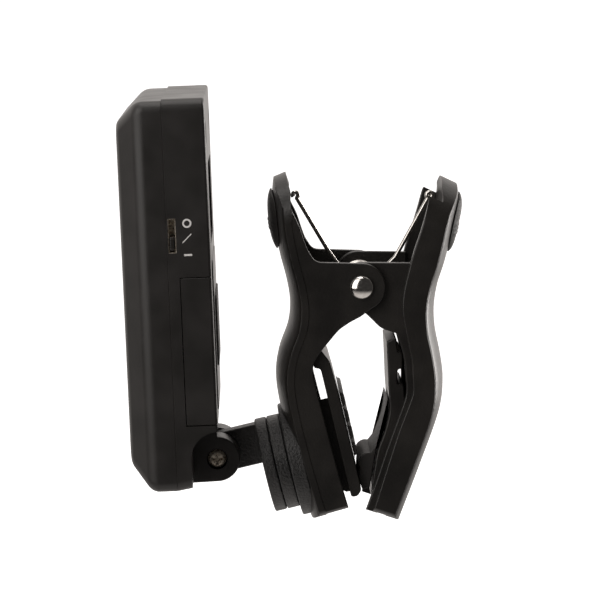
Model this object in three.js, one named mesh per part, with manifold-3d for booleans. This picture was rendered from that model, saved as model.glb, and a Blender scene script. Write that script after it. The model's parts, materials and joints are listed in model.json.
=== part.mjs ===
// Clip on tuner: a jointed tuner head on a swivel arm, carried by a spring clip.
// Millimetres, +Z up. The origin is where the two jaws grip, midway along the pad width.
// X runs from the tuner head towards the moving jaw, Y is the pivot pin's direction.

import * as THREE from 'three';
import { mergeVertices } from 'three/addons/utils/BufferGeometryUtils.js';
import Module from 'manifold-3d';

const wasm = await Module();
wasm.setup();

// ---- driving dimensions ----

const GAP = 0.3; // clearance between neighbouring pieces
const PIVOT_HEIGHT = 26; // clip pivot above the grip point

// clip arms, seen along the pivot pin, origin on the pivot
const ARM_HALF_WIDTH = 9;
const ARM_CROWN = 1.85; // rise of the back between its edges
const FIXED_PLATE = 1.75; // thickness of the crowned backs
const MOVING_PLATE = 2.2;
const ARM_TOP = 16.3;
const ARM_BOTTOM = -37.0;
const HANDLE_END_LENGTH = 7; // length of the rounded end of a handle
const JAW_END_LENGTH = 3; // length of the rounded end of a jaw
const OUTER_FLANGE = [7.9, 9.0]; // fixed jaw's side walls, either side of the middle
const MOVING_FLANGE = [7.5, 9.0]; // moving jaw's side walls
const INNER_FLANGE = [6.4, 7.55]; // moving jaw's ears, inside those of the fixed jaw
const EAR_RADIUS = 3.65;
const JAW_TIP = [4.9, ARM_BOTTOM]; // middle of a jaw's end
const JAW_LEAN = 17; // degrees
const FINGER_PAD = { low: 4.9, high: 14.0, halfWidth: 5.6, base: 0.25, swell: 0.5 };

// pivot
const RIVET_RADIUS = 1.0;
const RIVET_HEAD_RADIUS = 1.8;
const RIVET_HEAD_HEIGHT = 0.85;
const SLEEVE_RADIUS = 1.9;
const SPRING_WIRE_RADIUS = 0.38;
const SPRING_COIL_RADIUS = 2.62; // centre line, round the sleeve
const SPRING_HALF_WIDTH = 2.2;
const SPRING_TURNS = 4;
const SPRING_STEPS = 40;
const SPRING_LEG_ANGLE = 0.35; // radians past horizontal where a leg leaves the coil
const SPRING_HOOK_RADIUS = 0.5;
const SPRING_LEFT_TIP = new THREE.Vector2(-11.1, 13.1);
const SPRING_RIGHT_TIP = new THREE.Vector2(10.9, 13.6);

// tilt hinge and swivel: hinge axis from the clip pivot, swivel axis below the arm's middle
const HINGE_X = -21.75;
const HINGE_Z = -27.86;
const SWIVEL_LEAN = 14.5; // degrees, swivel axis above the horizontal
const SWIVEL_DROP = 3.84; // swivel axis below the tongue's centre line
const TONGUE_HALF_HEIGHT = 3.15;
const TONGUE_HALF_WIDTH = 1.4;
const DISC_RADIUS = 7.5;
const BOSS_RADIUS = 9;
const ARM_DISC = [6.76, 8.42]; // along the swivel axis from the hinge
const SWIVEL_DISC = [8.72, 10.62];
const BOSS = [10.92, 14.2];
const SWIVEL_SCREW_RADIUS = 1.2;
const SCREW_TIP = 7.5; // inner end of the swivel screw, inside the arm's disc
const SCREW_SEAT = 16.2; // inner face of the jaw's screw boss

// fixed jaw's pad, square to the swivel axis: along it, then heights across it
const CARRIER = [18.95, 20.75];
const CARRIER_TOP = 13.4;
const CARRIER_BOTTOM = -10.2;
const CARRIER_HALF_WIDTH = 7.5;
const CARRIER_BLOCK_TOP = 4.2;
const CARRIER_BLOCK_HALF_WIDTH = 5;
const TEETH = 4;
const TEETH_TOP = 6.0;
const TOOTH_PITCH = 2.66;
const TEETH_HALF_WIDTH = 6.8;

// moving jaw's pad, on the pivot
const MOVING_CARRIER_HALF_WIDTH = 6.0;
const NOSE = { x: 1.8, z: -28.1, radius: 1.55, halfWidth: 5.6, top: -17.9 };

// tuner head, in a frame on the hinge axis: X to the back, Z up
const HEAD_LEAN = 3.2; // degrees, top away from the clip
const HEAD_BACK = 0.5;
const HEAD_FRONT = -12.95;
const HEAD_BOTTOM = -2.05;
const HEAD_TOP = 57.0;
const HEAD_HALF_WIDTH = 18;
const PARTING = -5.9;
const CHAMFER_START = -9.7;
const CHAMFER_TOP = 3.5;
const CHAMFER_BOTTOM = 3.6;
const CHAMFER_SIDE = 3.5;
const WALL = 1.5;
const LUG_HALF_WIDTH = 5.75;
const LUG_RADIUS = 3.55;
const LUG_SLOT_HALF = 1.75;
const NOTCH_RADIUS = 4.15;
const NOTCH_DEPTH = -3.6;
const HINGE_SCREW_RADIUS = 0.95;
const HINGE_HEAD_RADIUS = 1.45;

// battery drawer: near side of the head, below the switch
const DOOR_BOTTOM = 7.85;
const DOOR_TOP = 30.25;
const DOOR_FRONT = -4.1;
const DOOR_THICKNESS = 1.5;
const TRAY_END = 5.6;
const TRAY_BACK = -0.5;
const CELL_RADIUS = 10;
const CELL_THICKNESS = 3.2;
const CELL_Y = -5.6;
const CELL_BACK = TRAY_BACK - GAP - 0.1;

// power switch slot on the near side
const SLOT_FRONT = -5.7;
const SLOT_BACK = -4.5;
const SLOT_BOTTOM = 34.05;
const SLOT_TOP = 39.25;
const KNOB_LENGTH = 2.0;
const KNOB_BOTTOM = SLOT_BOTTOM + 0.45;

// display and mode button on the front
const WINDOW_BOTTOM = 21;
const WINDOW_TOP = 49;
const WINDOW_HALF_WIDTH = 12.6;
const BUTTON_HEIGHT = 11.5;
const BUTTON_RADIUS = 3.4;

// back of the head: a raised panel with a rubber strip, and a blank label above it
const PANEL_HALF_WIDTH = 11;
const PANEL_BOTTOM = 8.6;
const PANEL_TOP = 31.8;
const PANEL_FACE = HEAD_BACK + 0.2;
const STRIP_HALF_WIDTH = 8;
const STRIP_BOTTOM = 15;
const STRIP_TOP = 26;
const LABEL_HALF_WIDTH = 8.7;
const LABEL_BOTTOM = 34.2;
const LABEL_TOP = 46.4;
const LABEL_FLOOR = HEAD_BACK - 0.8;
const CASE_SCREWS = [[-13.6, 51.6], [13.6, 51.6], [14.3, 10.6]]; // [y, z] on the back

// ---- geometry helpers ----

const degrees = (value) => (value * Math.PI) / 180;

function signedVolume(positions, index) {
  const a = new THREE.Vector3();
  const b = new THREE.Vector3();
  const c = new THREE.Vector3();
  let sum = 0;
  for (let i = 0; i < index.length; i += 3) {
    a.fromArray(positions, index[i] * 3);
    b.fromArray(positions, index[i + 1] * 3);
    c.fromArray(positions, index[i + 2] * 3);
    sum += a.dot(b.cross(c));
  }
  return sum / 6;
}

// turns a closed geometry into a solid that can be cut and joined
function solid(geometry) {
  const bare = geometry.clone();
  bare.deleteAttribute('normal');
  bare.deleteAttribute('uv');
  const merged = mergeVertices(bare, 1e-4);
  const positions = new Float32Array(merged.attributes.position.array);
  const index = [];
  const source = merged.index.array;
  for (let i = 0; i < source.length; i += 3) {
    const [a, b, c] = [source[i], source[i + 1], source[i + 2]];
    if (a !== b && b !== c && c !== a) {
      index.push(a, b, c);
    }
  }
  if (signedVolume(positions, index) < 0) {
    index.reverse();
  }
  const mesh = new wasm.Mesh({ numProp: 3, vertProperties: positions, triVerts: new Uint32Array(index) });
  return new wasm.Manifold(mesh);
}

function joined(first, ...others) {
  return others.reduce((sum, next) => sum.add(next), first);
}

function cut(first, ...others) {
  return others.reduce((rest, next) => rest.subtract(next), first);
}

// an outline in X and Z, pushed out along Y
function alongY(shape, from, to, curveSegments = 8) {
  const geometry = new THREE.ExtrudeGeometry(shape, { depth: to - from, bevelEnabled: false, curveSegments });
  return geometry.rotateX(Math.PI / 2).translate(0, to, 0);
}

// an outline in Y and Z, pushed out along X
function alongX(shape, from, to, curveSegments = 8) {
  const geometry = new THREE.ExtrudeGeometry(shape, { depth: to - from, bevelEnabled: false, curveSegments });
  const turn = new THREE.Matrix4().makeBasis(
    new THREE.Vector3(0, 1, 0),
    new THREE.Vector3(0, 0, 1),
    new THREE.Vector3(1, 0, 0),
  );
  return geometry.applyMatrix4(turn).translate(from, 0, 0);
}

function box(x0, x1, y0, y1, z0, z1) {
  const geometry = new THREE.BoxGeometry(x1 - x0, y1 - y0, z1 - z0);
  return geometry.translate((x0 + x1) / 2, (y0 + y1) / 2, (z0 + z1) / 2);
}

// a profile of [radius, distance] points turned about the X or Y axis
function turned(profile, axis, segments = 16) {
  const points = profile.map(([radius, distance]) => new THREE.Vector2(radius, distance));
  const geometry = new THREE.LatheGeometry(points, segments);
  if (axis === 'x') {
    geometry.rotateZ(-Math.PI / 2);
  }
  return geometry;
}

function rod(radius, from, to, axis, segments = 16) {
  return turned([[0, from], [radius, from], [radius, to], [0, to]], axis, segments);
}

// a rod with flat sides
function polygonRod(radius, from, to, sides) {
  return turned([[0, from], [radius, from], [radius, to], [0, to]], 'y', sides);
}

// joins rings of equal length into a closed skin; flat gives a ring point's two cap coordinates
function loft(rings, flat) {
  const count = rings[0].length;
  const positions = rings.flat().flatMap((point) => [point.x, point.y, point.z]);
  const index = [];
  for (let ring = 0; ring < rings.length - 1; ring += 1) {
    for (let i = 0; i < count; i += 1) {
      const next = (i + 1) % count;
      const low = ring * count;
      const high = low + count;
      index.push(low + i, low + next, high + next, low + i, high + next, high + i);
    }
  }
  const last = (rings.length - 1) * count;
  const isReversed = THREE.ShapeUtils.area(rings[0].map(flat)) < 0;
  for (const cap of THREE.ShapeUtils.triangulateShape(rings[0].map(flat), [])) {
    const [a, b, c] = isReversed ? [...cap].reverse() : cap;
    index.push(a, c, b);
    index.push(last + a, last + b, last + c);
  }
  const geometry = new THREE.BufferGeometry();
  geometry.setAttribute('position', new THREE.Float32BufferAttribute(positions, 3));
  geometry.setIndex(index);
  return geometry;
}

// smooth curve through [z, x] knots, as a function of z
function throughKnots(knots) {
  const sorted = [...knots].sort((a, b) => a[0] - b[0]);
  const curve = new THREE.SplineCurve(sorted.map(([z, x]) => new THREE.Vector2(z, x)));
  const table = curve.getPoints(sorted.length * 12);
  return (z) => {
    const above = table.findIndex((point) => point.x >= z);
    if (above <= 0) {
      return table[above === 0 ? 0 : table.length - 1].y;
    }
    const [low, high] = [table[above - 1], table[above]];
    return low.y + ((high.y - low.y) * (z - low.x)) / (high.x - low.x);
  };
}

function range(from, to, steps) {
  return Array.from({ length: steps + 1 }, (_, i) => from + ((to - from) * i) / steps);
}

// corner points of a rounded rectangle, counter-clockwise
function roundedCorners(halfWidth, bottom, top, radius) {
  const centres = [[halfWidth, bottom], [halfWidth, top], [-halfWidth, top], [-halfWidth, bottom]];
  return centres.flatMap(([x, y], corner) => {
    const centre = new THREE.Vector2(x - Math.sign(x) * radius, y === top ? y - radius : y + radius);
    const start = (corner - 1) * (Math.PI / 2);
    return range(start, start + Math.PI / 2, 3).map((angle) => (
      new THREE.Vector2(Math.cos(angle), Math.sin(angle)).multiplyScalar(radius).add(centre)
    ));
  });
}

function roundedRectangle(halfWidth, bottom, top, radius) {
  return new THREE.Shape(roundedCorners(halfWidth, bottom, top, radius));
}

// ---- the finished object ----

const tuner = new THREE.Group();
const clip = new THREE.Group();
const swivel = new THREE.Group();
const head = new THREE.Group();
clip.position.z = PIVOT_HEIGHT;
swivel.position.set(HINGE_X, 0, HINGE_Z);
swivel.rotation.y = -degrees(SWIVEL_LEAN);
head.position.set(HINGE_X, 0, HINGE_Z);
head.rotation.y = -degrees(HEAD_LEAN);
tuner.add(clip);
clip.add(swivel, head);
clip.updateMatrixWorld(true);

const swivelPlacement = new THREE.Matrix4().compose(swivel.position, swivel.quaternion, swivel.scale);

const paints = {
  casePlastic: { color: 0x1b1a1a, roughness: 0.55, metalness: 0 },
  clipPlastic: { color: 0x181717, roughness: 0.42, metalness: 0 },
  rubber: { color: 0x141313, roughness: 0.8, metalness: 0 },
  gloss: { color: 0x050506, roughness: 0.08, metalness: 0 },
  steel: { color: 0xc8c4bc, roughness: 0.18, metalness: 1 },
  brass: { color: 0xb59a5a, roughness: 0.3, metalness: 1 },
  board: { color: 0x1f4d2c, roughness: 0.5, metalness: 0 },
  screen: { color: 0x7d8a78, roughness: 0.25, metalness: 0 },
};

function place(parent, name, shape, paint) {
  const mesh = shape.getMesh();
  const geometry = new THREE.BufferGeometry();
  geometry.setAttribute('position', new THREE.Float32BufferAttribute(mesh.vertProperties, 3));
  geometry.setIndex(new THREE.Uint32BufferAttribute(mesh.triVerts, 1));
  geometry.computeVertexNormals();
  const node = new THREE.Mesh(geometry, new THREE.MeshStandardMaterial(paints[paint]));
  node.name = name;
  parent.add(node);
}

// ---- clip arms ----

// x of the arms' outer edges and of their inner edges, as [z, x] knots
const fixedEdge = throughKnots([
  [18, -11.6], [14, -12.05], [9, -11.75], [4.3, -10.75], [0, -9.55], [-3.5, -8.95], [-7, -9.2],
  [-11, -10.5], [-15, -10.95], [-20, -10.15], [-29, -7.7], [-39, -4.5],
]);
const movingEdge = throughKnots([
  [18, 12.2], [14, 13.15], [9, 12.5], [3.6, 11.35], [0, 10.3], [-3.5, 9.85], [-7, 10.1],
  [-11, 11.0], [-15, 11.55], [-20, 11.1], [-28.3, 8.45], [-39, 4.7],
]);
const fixedInner = throughKnots([
  [18, -11.9], [13.7, -11.6], [11.5, -10.9], [9.3, -9.8], [4.8, -8.05], [0, -5], [-6.65, -3.3], [-9.4, -5.5],
  [-11.7, -7.0], [-13.5, -7.15], [-15.3, -6.8], [-17.6, -6.2], [-23.3, -4.6], [-30.9, -2.4], [-39, 0.2],
]);
const movingInner = throughKnots([
  [18, 12.2], [14.4, 12.1], [12.6, 11.3], [10.5, 10.0], [5.7, 8.1], [2.5, 7.1], [-0.8, 6.45], [-4, 6.4],
  [-9.3, 7.5], [-11.5, 7.95], [-14, 8.15], [-16.1, 8.3], [-17.5, 7.95], [-19.4, 7.3], [-22.9, 6.1],
  [-29.3, 4.25], [-39, 1.5],
]);
const movingLip = throughKnots([
  [-7.3, 5.6], [-9.9, 6.5], [-11.8, 6.95], [-13.8, 7.15], [-16.2, 7.35], [-17.7, 7.15], [-20, 6.4],
  [-25.4, 4.6], [-31.3, 2.8], [-39, 0.3],
]);

// x of a crowned back at height z, side -1 for the fixed arm and +1 for the moving one
function backSurface(edge, side, y, z) {
  return edge(z) + side * ARM_CROWN * (1 - Math.abs(y / ARM_HALF_WIDTH) ** 2.4);
}

function crownedBack(edge, side, thickness) {
  const columns = range(-ARM_HALF_WIDTH, ARM_HALF_WIDTH, 8);
  const rings = range(-39, 18, 19).map((z) => {
    const outer = columns.map((y) => new THREE.Vector3(backSurface(edge, side, y, z), y, z));
    const inner = outer.map((point) => point.clone().setX(point.x - side * thickness)).reverse();
    return [...outer, ...inner];
  });
  return solid(loft(rings, (point) => new THREE.Vector2(point.x, point.y)));
}

// keeps what lies inside a strip whose end is rounded and square to the arm
function endTrim(tipX, tipZ, lean, up, length) {
  const reach = up ? -80 : 80;
  const outline = new THREE.Shape();
  outline.moveTo(-ARM_HALF_WIDTH, reach);
  outline.lineTo(-ARM_HALF_WIDTH, up ? -length : length);
  const middle = up ? -length : length;
  outline.absellipse(0, middle, ARM_HALF_WIDTH, length, Math.PI, 0, up, 0);
  outline.lineTo(ARM_HALF_WIDTH, reach);
  const prism = alongX(outline, -40, 40, 9).rotateY(degrees(lean)).translate(tipX, 0, tipZ);
  return solid(prism);
}

// keeps what lies above a jaw's end, whose outer corner is rounded in the side view
function heelTrim(side) {
  const outline = new THREE.Shape();
  outline.moveTo(-20, 0);
  outline.lineTo(1.1, 0);
  outline.quadraticCurveTo(2.6, 0.1, 2.9, 2.2);
  outline.lineTo(40, 30);
  outline.lineTo(40, 90);
  outline.lineTo(-20, 90);
  outline.closePath();
  const prism = alongY(outline, -20, 20);
  const flipped = side < 0 ? prism.rotateZ(Math.PI) : prism;
  const [x, z] = JAW_TIP;
  return solid(flipped.rotateY(degrees(side * JAW_LEAN)).translate(side * x, 0, z));
}

function trimmedArm(arm, side) {
  const [x, z] = JAW_TIP;
  const top = endTrim(side * 12.9, ARM_TOP, side * 24, true, HANDLE_END_LENGTH);
  const bottom = endTrim(side * x, z, side * JAW_LEAN, false, JAW_END_LENGTH);
  return arm.intersect(top).intersect(bottom).intersect(heelTrim(side));
}

function sideWalls(shape, [near, far]) {
  return solid(alongY(shape, -far, -near)).add(solid(alongY(shape, near, far)));
}

function outlineBetween(outer, inner, zs) {
  const shape = new THREE.Shape();
  zs.forEach((z, i) => (i ? shape.lineTo(outer(z), z) : shape.moveTo(outer(z), z)));
  [...zs].reverse().forEach((z) => shape.lineTo(inner(z), z));
  shape.closePath();
  return shape;
}

// the fixed jaw's flange and ear in one outline
function fixedWallOutline() {
  const shape = new THREE.Shape();
  const edge = (z) => fixedEdge(z) - 0.25;
  range(18, -39, 19).forEach((z, i) => (i ? shape.lineTo(edge(z), z) : shape.moveTo(edge(z), z)));
  range(-39, -9.4, 9).forEach((z) => shape.lineTo(fixedInner(z), z));
  shape.lineTo(-3.3, -6.65);
  shape.lineTo(-1.7, -5.5);
  shape.lineTo(0.1, -4.5);
  shape.lineTo(1.1, -3.75);
  shape.absarc(0, 0, EAR_RADIUS, -1.15, Math.PI / 2, false);
  shape.lineTo(-5.8, 3.68);
  shape.quadraticCurveTo(-7.5, 3.9, -8.05, 4.8);
  range(5.6, 18, 5).forEach((z) => shape.lineTo(Math.max(fixedInner(z), edge(z) + 0.4), z));
  shape.closePath();
  return shape;
}

// the moving jaw's inner lip and ear
function movingWallOutline() {
  const shape = new THREE.Shape();
  shape.moveTo(7.6, 3.7);
  shape.lineTo(0, EAR_RADIUS);
  shape.absarc(0, 0, EAR_RADIUS, Math.PI / 2, Math.PI * 1.5, false);
  shape.lineTo(1.6, -5.0);
  shape.lineTo(3.1, -6.5);
  range(-7.3, -39, 10).forEach((z) => shape.lineTo(movingLip(z), z));
  range(-39, -9.3, 8).forEach((z) => shape.lineTo(movingInner(z) + 0.8, z));
  shape.lineTo(7.6, -3.4);
  shape.closePath();
  return shape;
}

function crossWall(x0, x1, z0, z1, halfWidth) {
  return solid(box(x0, x1, -halfWidth, halfWidth, z0, z1));
}

// a bar across the arm, joined to its back and side walls
function backRib(edge, side, z, depth, halfWidth) {
  const back = edge(z) + side * 0.1;
  const front = edge(z) - side * depth;
  return crossWall(Math.min(back, front), Math.max(back, front), z - 0.7, z + 0.7, halfWidth);
}

function swivelSolid(geometry) {
  return solid(geometry.applyMatrix4(swivelPlacement));
}

function fixedJaw() {
  const wall = sideWalls(fixedWallOutline(), OUTER_FLANGE);
  const seat = swivelSolid(rod(4.3, BOSS[0] + 0.5, SCREW_SEAT, 'x').translate(0, 0, -SWIVEL_DROP));
  const ribs = [-11.9, -18.6].map((z) => backRib(fixedEdge, -1, z, 3.0, OUTER_FLANGE[0] + 0.05));
  const trimmed = trimmedArm(joined(crownedBack(fixedEdge, -1, FIXED_PLATE), wall, seat, ...ribs), -1);
  const boss = swivelSolid(rod(BOSS_RADIUS, BOSS[0], 12.9, 'x', 32).translate(0, 0, -SWIVEL_DROP));
  const bore = swivelSolid(rod(SWIVEL_SCREW_RADIUS + GAP, 5, 20, 'x').translate(0, 0, -SWIVEL_DROP));
  const pin = solid(rod(RIVET_RADIUS + GAP, -12, 12, 'y'));
  return cut(trimmed.add(boss), bore, pin);
}

function movingJaw() {
  const outline = outlineBetween(
    (z) => movingEdge(z) + 0.25,
    (z) => Math.min(movingInner(z), movingEdge(z) - 0.2),
    range(18, -39, 19),
  );
  const flange = sideWalls(outline, MOVING_FLANGE);
  const lip = sideWalls(movingWallOutline(), INNER_FLANGE);
  const ribs = [-12, -18.8].map((z) => backRib(movingEdge, 1, z, 2.8, MOVING_FLANGE[0] + 0.05));
  const arm = trimmedArm(joined(crownedBack(movingEdge, 1, MOVING_PLATE), flange, lip, ...ribs), 1);
  return cut(arm, solid(rod(RIVET_RADIUS + GAP, -12, 12, 'y')));
}

// rubber pad for a finger, let into the outside of a handle
function fingerPad(edge, side) {
  const middle = (FINGER_PAD.low + FINGER_PAD.high) / 2;
  const reach = (FINGER_PAD.high - FINGER_PAD.low) / 2;
  const rings = range(FINGER_PAD.low, FINGER_PAD.high, 8).map((z) => {
    const along = (z - middle) / reach;
    const halfWidth = FINGER_PAD.halfWidth * Math.max(0.25, 1 - Math.abs(along) ** 3) ** 0.5;
    const thickness = FINGER_PAD.base + FINGER_PAD.swell * (1 - along ** 4);
    const columns = range(-halfWidth, halfWidth, 6);
    const skin = columns.map((y) => (
      new THREE.Vector3(backSurface(edge, side, y, z) + (side * GAP) / 2, y, z)
    ));
    const outer = skin.map((point) => point.clone().setX(point.x + side * thickness));
    return [...skin, ...outer.reverse()];
  });
  return solid(loft(rings, (point) => new THREE.Vector2(point.x, point.y)));
}

// ---- pads ----

// a plate with a hooked top, and a narrower block behind it that fills the jaw's channel
function fixedPadCarrier() {
  const [inner, face] = CARRIER;
  const front = new THREE.Shape();
  front.moveTo(inner, CARRIER_TOP - 3);
  front.lineTo(inner - 1.0, CARRIER_TOP - 2.6);
  front.lineTo(inner - 0.6, CARRIER_TOP - 0.6);
  front.lineTo(inner + 0.7, CARRIER_TOP);
  front.quadraticCurveTo(face, CARRIER_TOP - 2, face, 8);
  front.lineTo(face, CARRIER_BOTTOM + 0.3);
  front.lineTo(face - 1.6, CARRIER_BOTTOM - 0.6);
  front.lineTo(inner, CARRIER_BOTTOM - 0.1);
  front.closePath();
  const block = new THREE.Shape();
  block.moveTo(inner + 0.2, CARRIER_BOTTOM);
  block.lineTo(inner - 1.4, CARRIER_BOTTOM + 1);
  block.lineTo(inner - 2.3, CARRIER_BLOCK_TOP);
  block.lineTo(inner + 0.2, CARRIER_BLOCK_TOP);
  block.closePath();
  const body = joined(
    solid(alongY(front, -CARRIER_HALF_WIDTH, CARRIER_HALF_WIDTH)),
    solid(alongY(block, -CARRIER_BLOCK_HALF_WIDTH, CARRIER_BLOCK_HALF_WIDTH)),
  );
  return cut(body, solid(rod(3.0, 10, inner - 0.1, 'x').translate(0, 0, -SWIVEL_DROP)));
}

function toothedPad() {
  const root = CARRIER[1] + GAP / 2;
  const shape = new THREE.Shape();
  shape.moveTo(root, TEETH_TOP - TEETH * TOOTH_PITCH - 0.3);
  shape.lineTo(root, TEETH_TOP + 0.2);
  shape.lineTo(root + 0.15, TEETH_TOP + 0.2);
  for (let tooth = 0; tooth < TEETH; tooth += 1) {
    const top = TEETH_TOP - tooth * TOOTH_PITCH;
    shape.quadraticCurveTo(root + 0.65, top, root + 0.62, top - 0.95);
    shape.lineTo(root + 0.45, top - 2.1);
    shape.lineTo(root + 0.15, top - TOOTH_PITCH);
  }
  shape.closePath();
  return solid(alongY(shape, -TEETH_HALF_WIDTH, TEETH_HALF_WIDTH, 4));
}

// x of the moving pad's gripping side
const movingPadFace = throughKnots([
  [-8.6, 4.1], [-12, 4.35], [-16, 4.6], [-19.6, 4.85], [-22.8, 4.25], [-24.75, 3.6], [-27, 3.0], [-34, 2.1],
]);

function movingPadCarrier() {
  const shape = new THREE.Shape();
  range(-8.8, -31.5, 12).forEach((z, i) => {
    const x = movingPadFace(z) + 0.05;
    return i ? shape.lineTo(x, z) : shape.moveTo(x, z);
  });
  shape.lineTo(2.3, -33.4);
  shape.lineTo(3.1, -33.4);
  shape.lineTo(5.7, -26.5);
  shape.lineTo(7.6, -20.2);
  shape.lineTo(7.0, -15.6);
  shape.lineTo(6.0, -15.5);
  shape.lineTo(6.0, -13.2);
  shape.lineTo(6.8, -13.0);
  shape.lineTo(6.7, -10.6);
  shape.lineTo(5.9, -10.4);
  shape.lineTo(5.7, -8.2);
  shape.closePath();
  return solid(alongY(shape, -MOVING_CARRIER_HALF_WIDTH, MOVING_CARRIER_HALF_WIDTH));
}

// rubber skin, a rounded nose that meets the fixed pad, and a flat block below it
function nosePad() {
  const shape = new THREE.Shape();
  const back = (z) => movingPadFace(z) - GAP;
  const skin = (z) => back(z) - 0.35;
  shape.moveTo(back(NOSE.top), NOSE.top);
  range(NOSE.top - 1, -32, 9).forEach((z) => shape.lineTo(back(z), z));
  shape.lineTo(1.0, -32.4);
  shape.lineTo(0.45, -30.8);
  shape.lineTo(0.35, -29.6);
  shape.absarc(NOSE.x, NOSE.z, NOSE.radius, degrees(205), degrees(75), true);
  shape.lineTo(skin(-25), -25);
  shape.lineTo(skin(-22), -22);
  shape.lineTo(skin(NOSE.top), NOSE.top - 0.4);
  shape.closePath();
  return solid(alongY(shape, -NOSE.halfWidth, NOSE.halfWidth));
}

// ---- pivot and spring ----

function rivet() {
  const dome = range(0, Math.PI / 2, 4).map((angle) => [
    RIVET_HEAD_RADIUS * Math.cos(angle),
    ARM_HALF_WIDTH + GAP / 2 + RIVET_HEAD_HEIGHT * Math.sin(angle),
  ]);
  dome[dome.length - 1][0] = 0;
  const low = dome.map(([radius, distance]) => [radius, -distance]).reverse();
  const shoulder = ARM_HALF_WIDTH + GAP / 2;
  const pin = [[RIVET_RADIUS, -shoulder], [RIVET_RADIUS, shoulder]];
  return solid(turned([...low, ...pin, ...dome], 'y', 20));
}

function sleeve() {
  const [inner, half] = [RIVET_RADIUS + GAP, INNER_FLANGE[0] - GAP];
  const profile = [[inner, -half], [SLEEVE_RADIUS, -half], [SLEEVE_RADIUS, half], [inner, half], [inner, -half]];
  return solid(turned(profile, 'y'));
}

// centre line of the torsion spring: hook, leg, coil round the sleeve, leg, hook
function springPath() {
  const hook = (tip, y, side) => range(degrees(-150), degrees(60), 5).map((angle) => new THREE.Vector3(
    tip.x + side * SPRING_HOOK_RADIUS * (1 + Math.cos(angle)),
    y,
    tip.y + SPRING_HOOK_RADIUS * Math.sin(angle),
  ));
  const [left, right] = [SPRING_LEFT_TIP, SPRING_RIGHT_TIP];
  const start = Math.PI - SPRING_LEG_ANGLE;
  const end = start + (SPRING_TURNS - 1) * 2 * Math.PI + Math.PI + 2 * SPRING_LEG_ANGLE;
  const coil = range(start, end, SPRING_STEPS).map((angle, i) => new THREE.Vector3(
    SPRING_COIL_RADIUS * Math.cos(angle),
    SPRING_HALF_WIDTH * (1 - (2 * i) / SPRING_STEPS),
    SPRING_COIL_RADIUS * Math.sin(angle),
  ));
  return [
    ...hook(left, SPRING_HALF_WIDTH, 1).reverse(),
    new THREE.Vector3(-4.9, SPRING_HALF_WIDTH, 4.2),
    ...coil,
    new THREE.Vector3(5.4, -SPRING_HALF_WIDTH, 3.9),
    ...hook(right, -SPRING_HALF_WIDTH, -1),
  ];
}

function torsionSpring() {
  const points = springPath();
  const section = new THREE.Shape();
  section.absarc(0, 0, SPRING_WIRE_RADIUS, 0, Math.PI * 2, false);
  const path = new THREE.CatmullRomCurve3(points, false, 'centripetal');
  const options = { steps: points.length * 2, extrudePath: path, bevelEnabled: false, curveSegments: 3 };
  return solid(new THREE.ExtrudeGeometry(section, options));
}

// ---- swivel ----

function swivelArm() {
  const tongue = new THREE.Shape();
  tongue.moveTo(ARM_DISC[0] + 0.5, -TONGUE_HALF_HEIGHT);
  tongue.lineTo(ARM_DISC[0] + 0.5, TONGUE_HALF_HEIGHT);
  tongue.lineTo(0, TONGUE_HALF_HEIGHT);
  tongue.absarc(0, 0, TONGUE_HALF_HEIGHT, Math.PI / 2, Math.PI * 1.5, false);
  const disc = rod(DISC_RADIUS, ARM_DISC[0], ARM_DISC[1], 'x', 32).translate(0, 0, -SWIVEL_DROP);
  const body = joined(solid(alongY(tongue, -TONGUE_HALF_WIDTH, TONGUE_HALF_WIDTH)), solid(disc));
  const bore = solid(rod(SWIVEL_SCREW_RADIUS + GAP, SCREW_TIP - GAP, 12, 'x').translate(0, 0, -SWIVEL_DROP));
  return cut(body, solid(rod(HINGE_SCREW_RADIUS + GAP, -6, 6, 'y')), bore);
}

function swivelDisc() {
  const inner = SWIVEL_SCREW_RADIUS + GAP;
  const [low, high] = SWIVEL_DISC;
  const ring = [[inner, low], [DISC_RADIUS, low], [DISC_RADIUS, high], [inner, high], [inner, low]];
  return solid(turned(ring, 'x', 32).translate(0, 0, -SWIVEL_DROP));
}

function swivelWasher() {
  const inner = SWIVEL_SCREW_RADIUS + GAP;
  const [low, high] = [SCREW_SEAT + GAP, SCREW_SEAT + 0.8];
  const ring = [[inner, low], [2.6, low], [2.6, high], [inner, high], [inner, low]];
  return solid(turned(ring, 'x').translate(0, 0, -SWIVEL_DROP));
}

function swivelScrew() {
  const seat = SCREW_SEAT + 1.1;
  const profile = [
    [0, SCREW_TIP], [SWIVEL_SCREW_RADIUS, SCREW_TIP], [SWIVEL_SCREW_RADIUS, seat],
    [2.2, seat], [2.0, seat + 1.0], [0, seat + 1.15],
  ];
  return solid(turned(profile, 'x').translate(0, 0, -SWIVEL_DROP));
}

// ---- tuner head ----

// rings of the head's outline at several depths: [x, inset at the top, bottom and sides, corner radius]
function headRings(stations) {
  return stations.map(([x, top, bottom, side, radius]) => {
    const outline = roundedCorners(HEAD_HALF_WIDTH - side, HEAD_BOTTOM + bottom, HEAD_TOP - top, radius);
    return outline.map((point) => new THREE.Vector3(x, point.x, point.y));
  });
}

function headSolid(stations) {
  return solid(loft(headRings(stations), (point) => new THREE.Vector2(point.y, point.z)));
}

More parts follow.
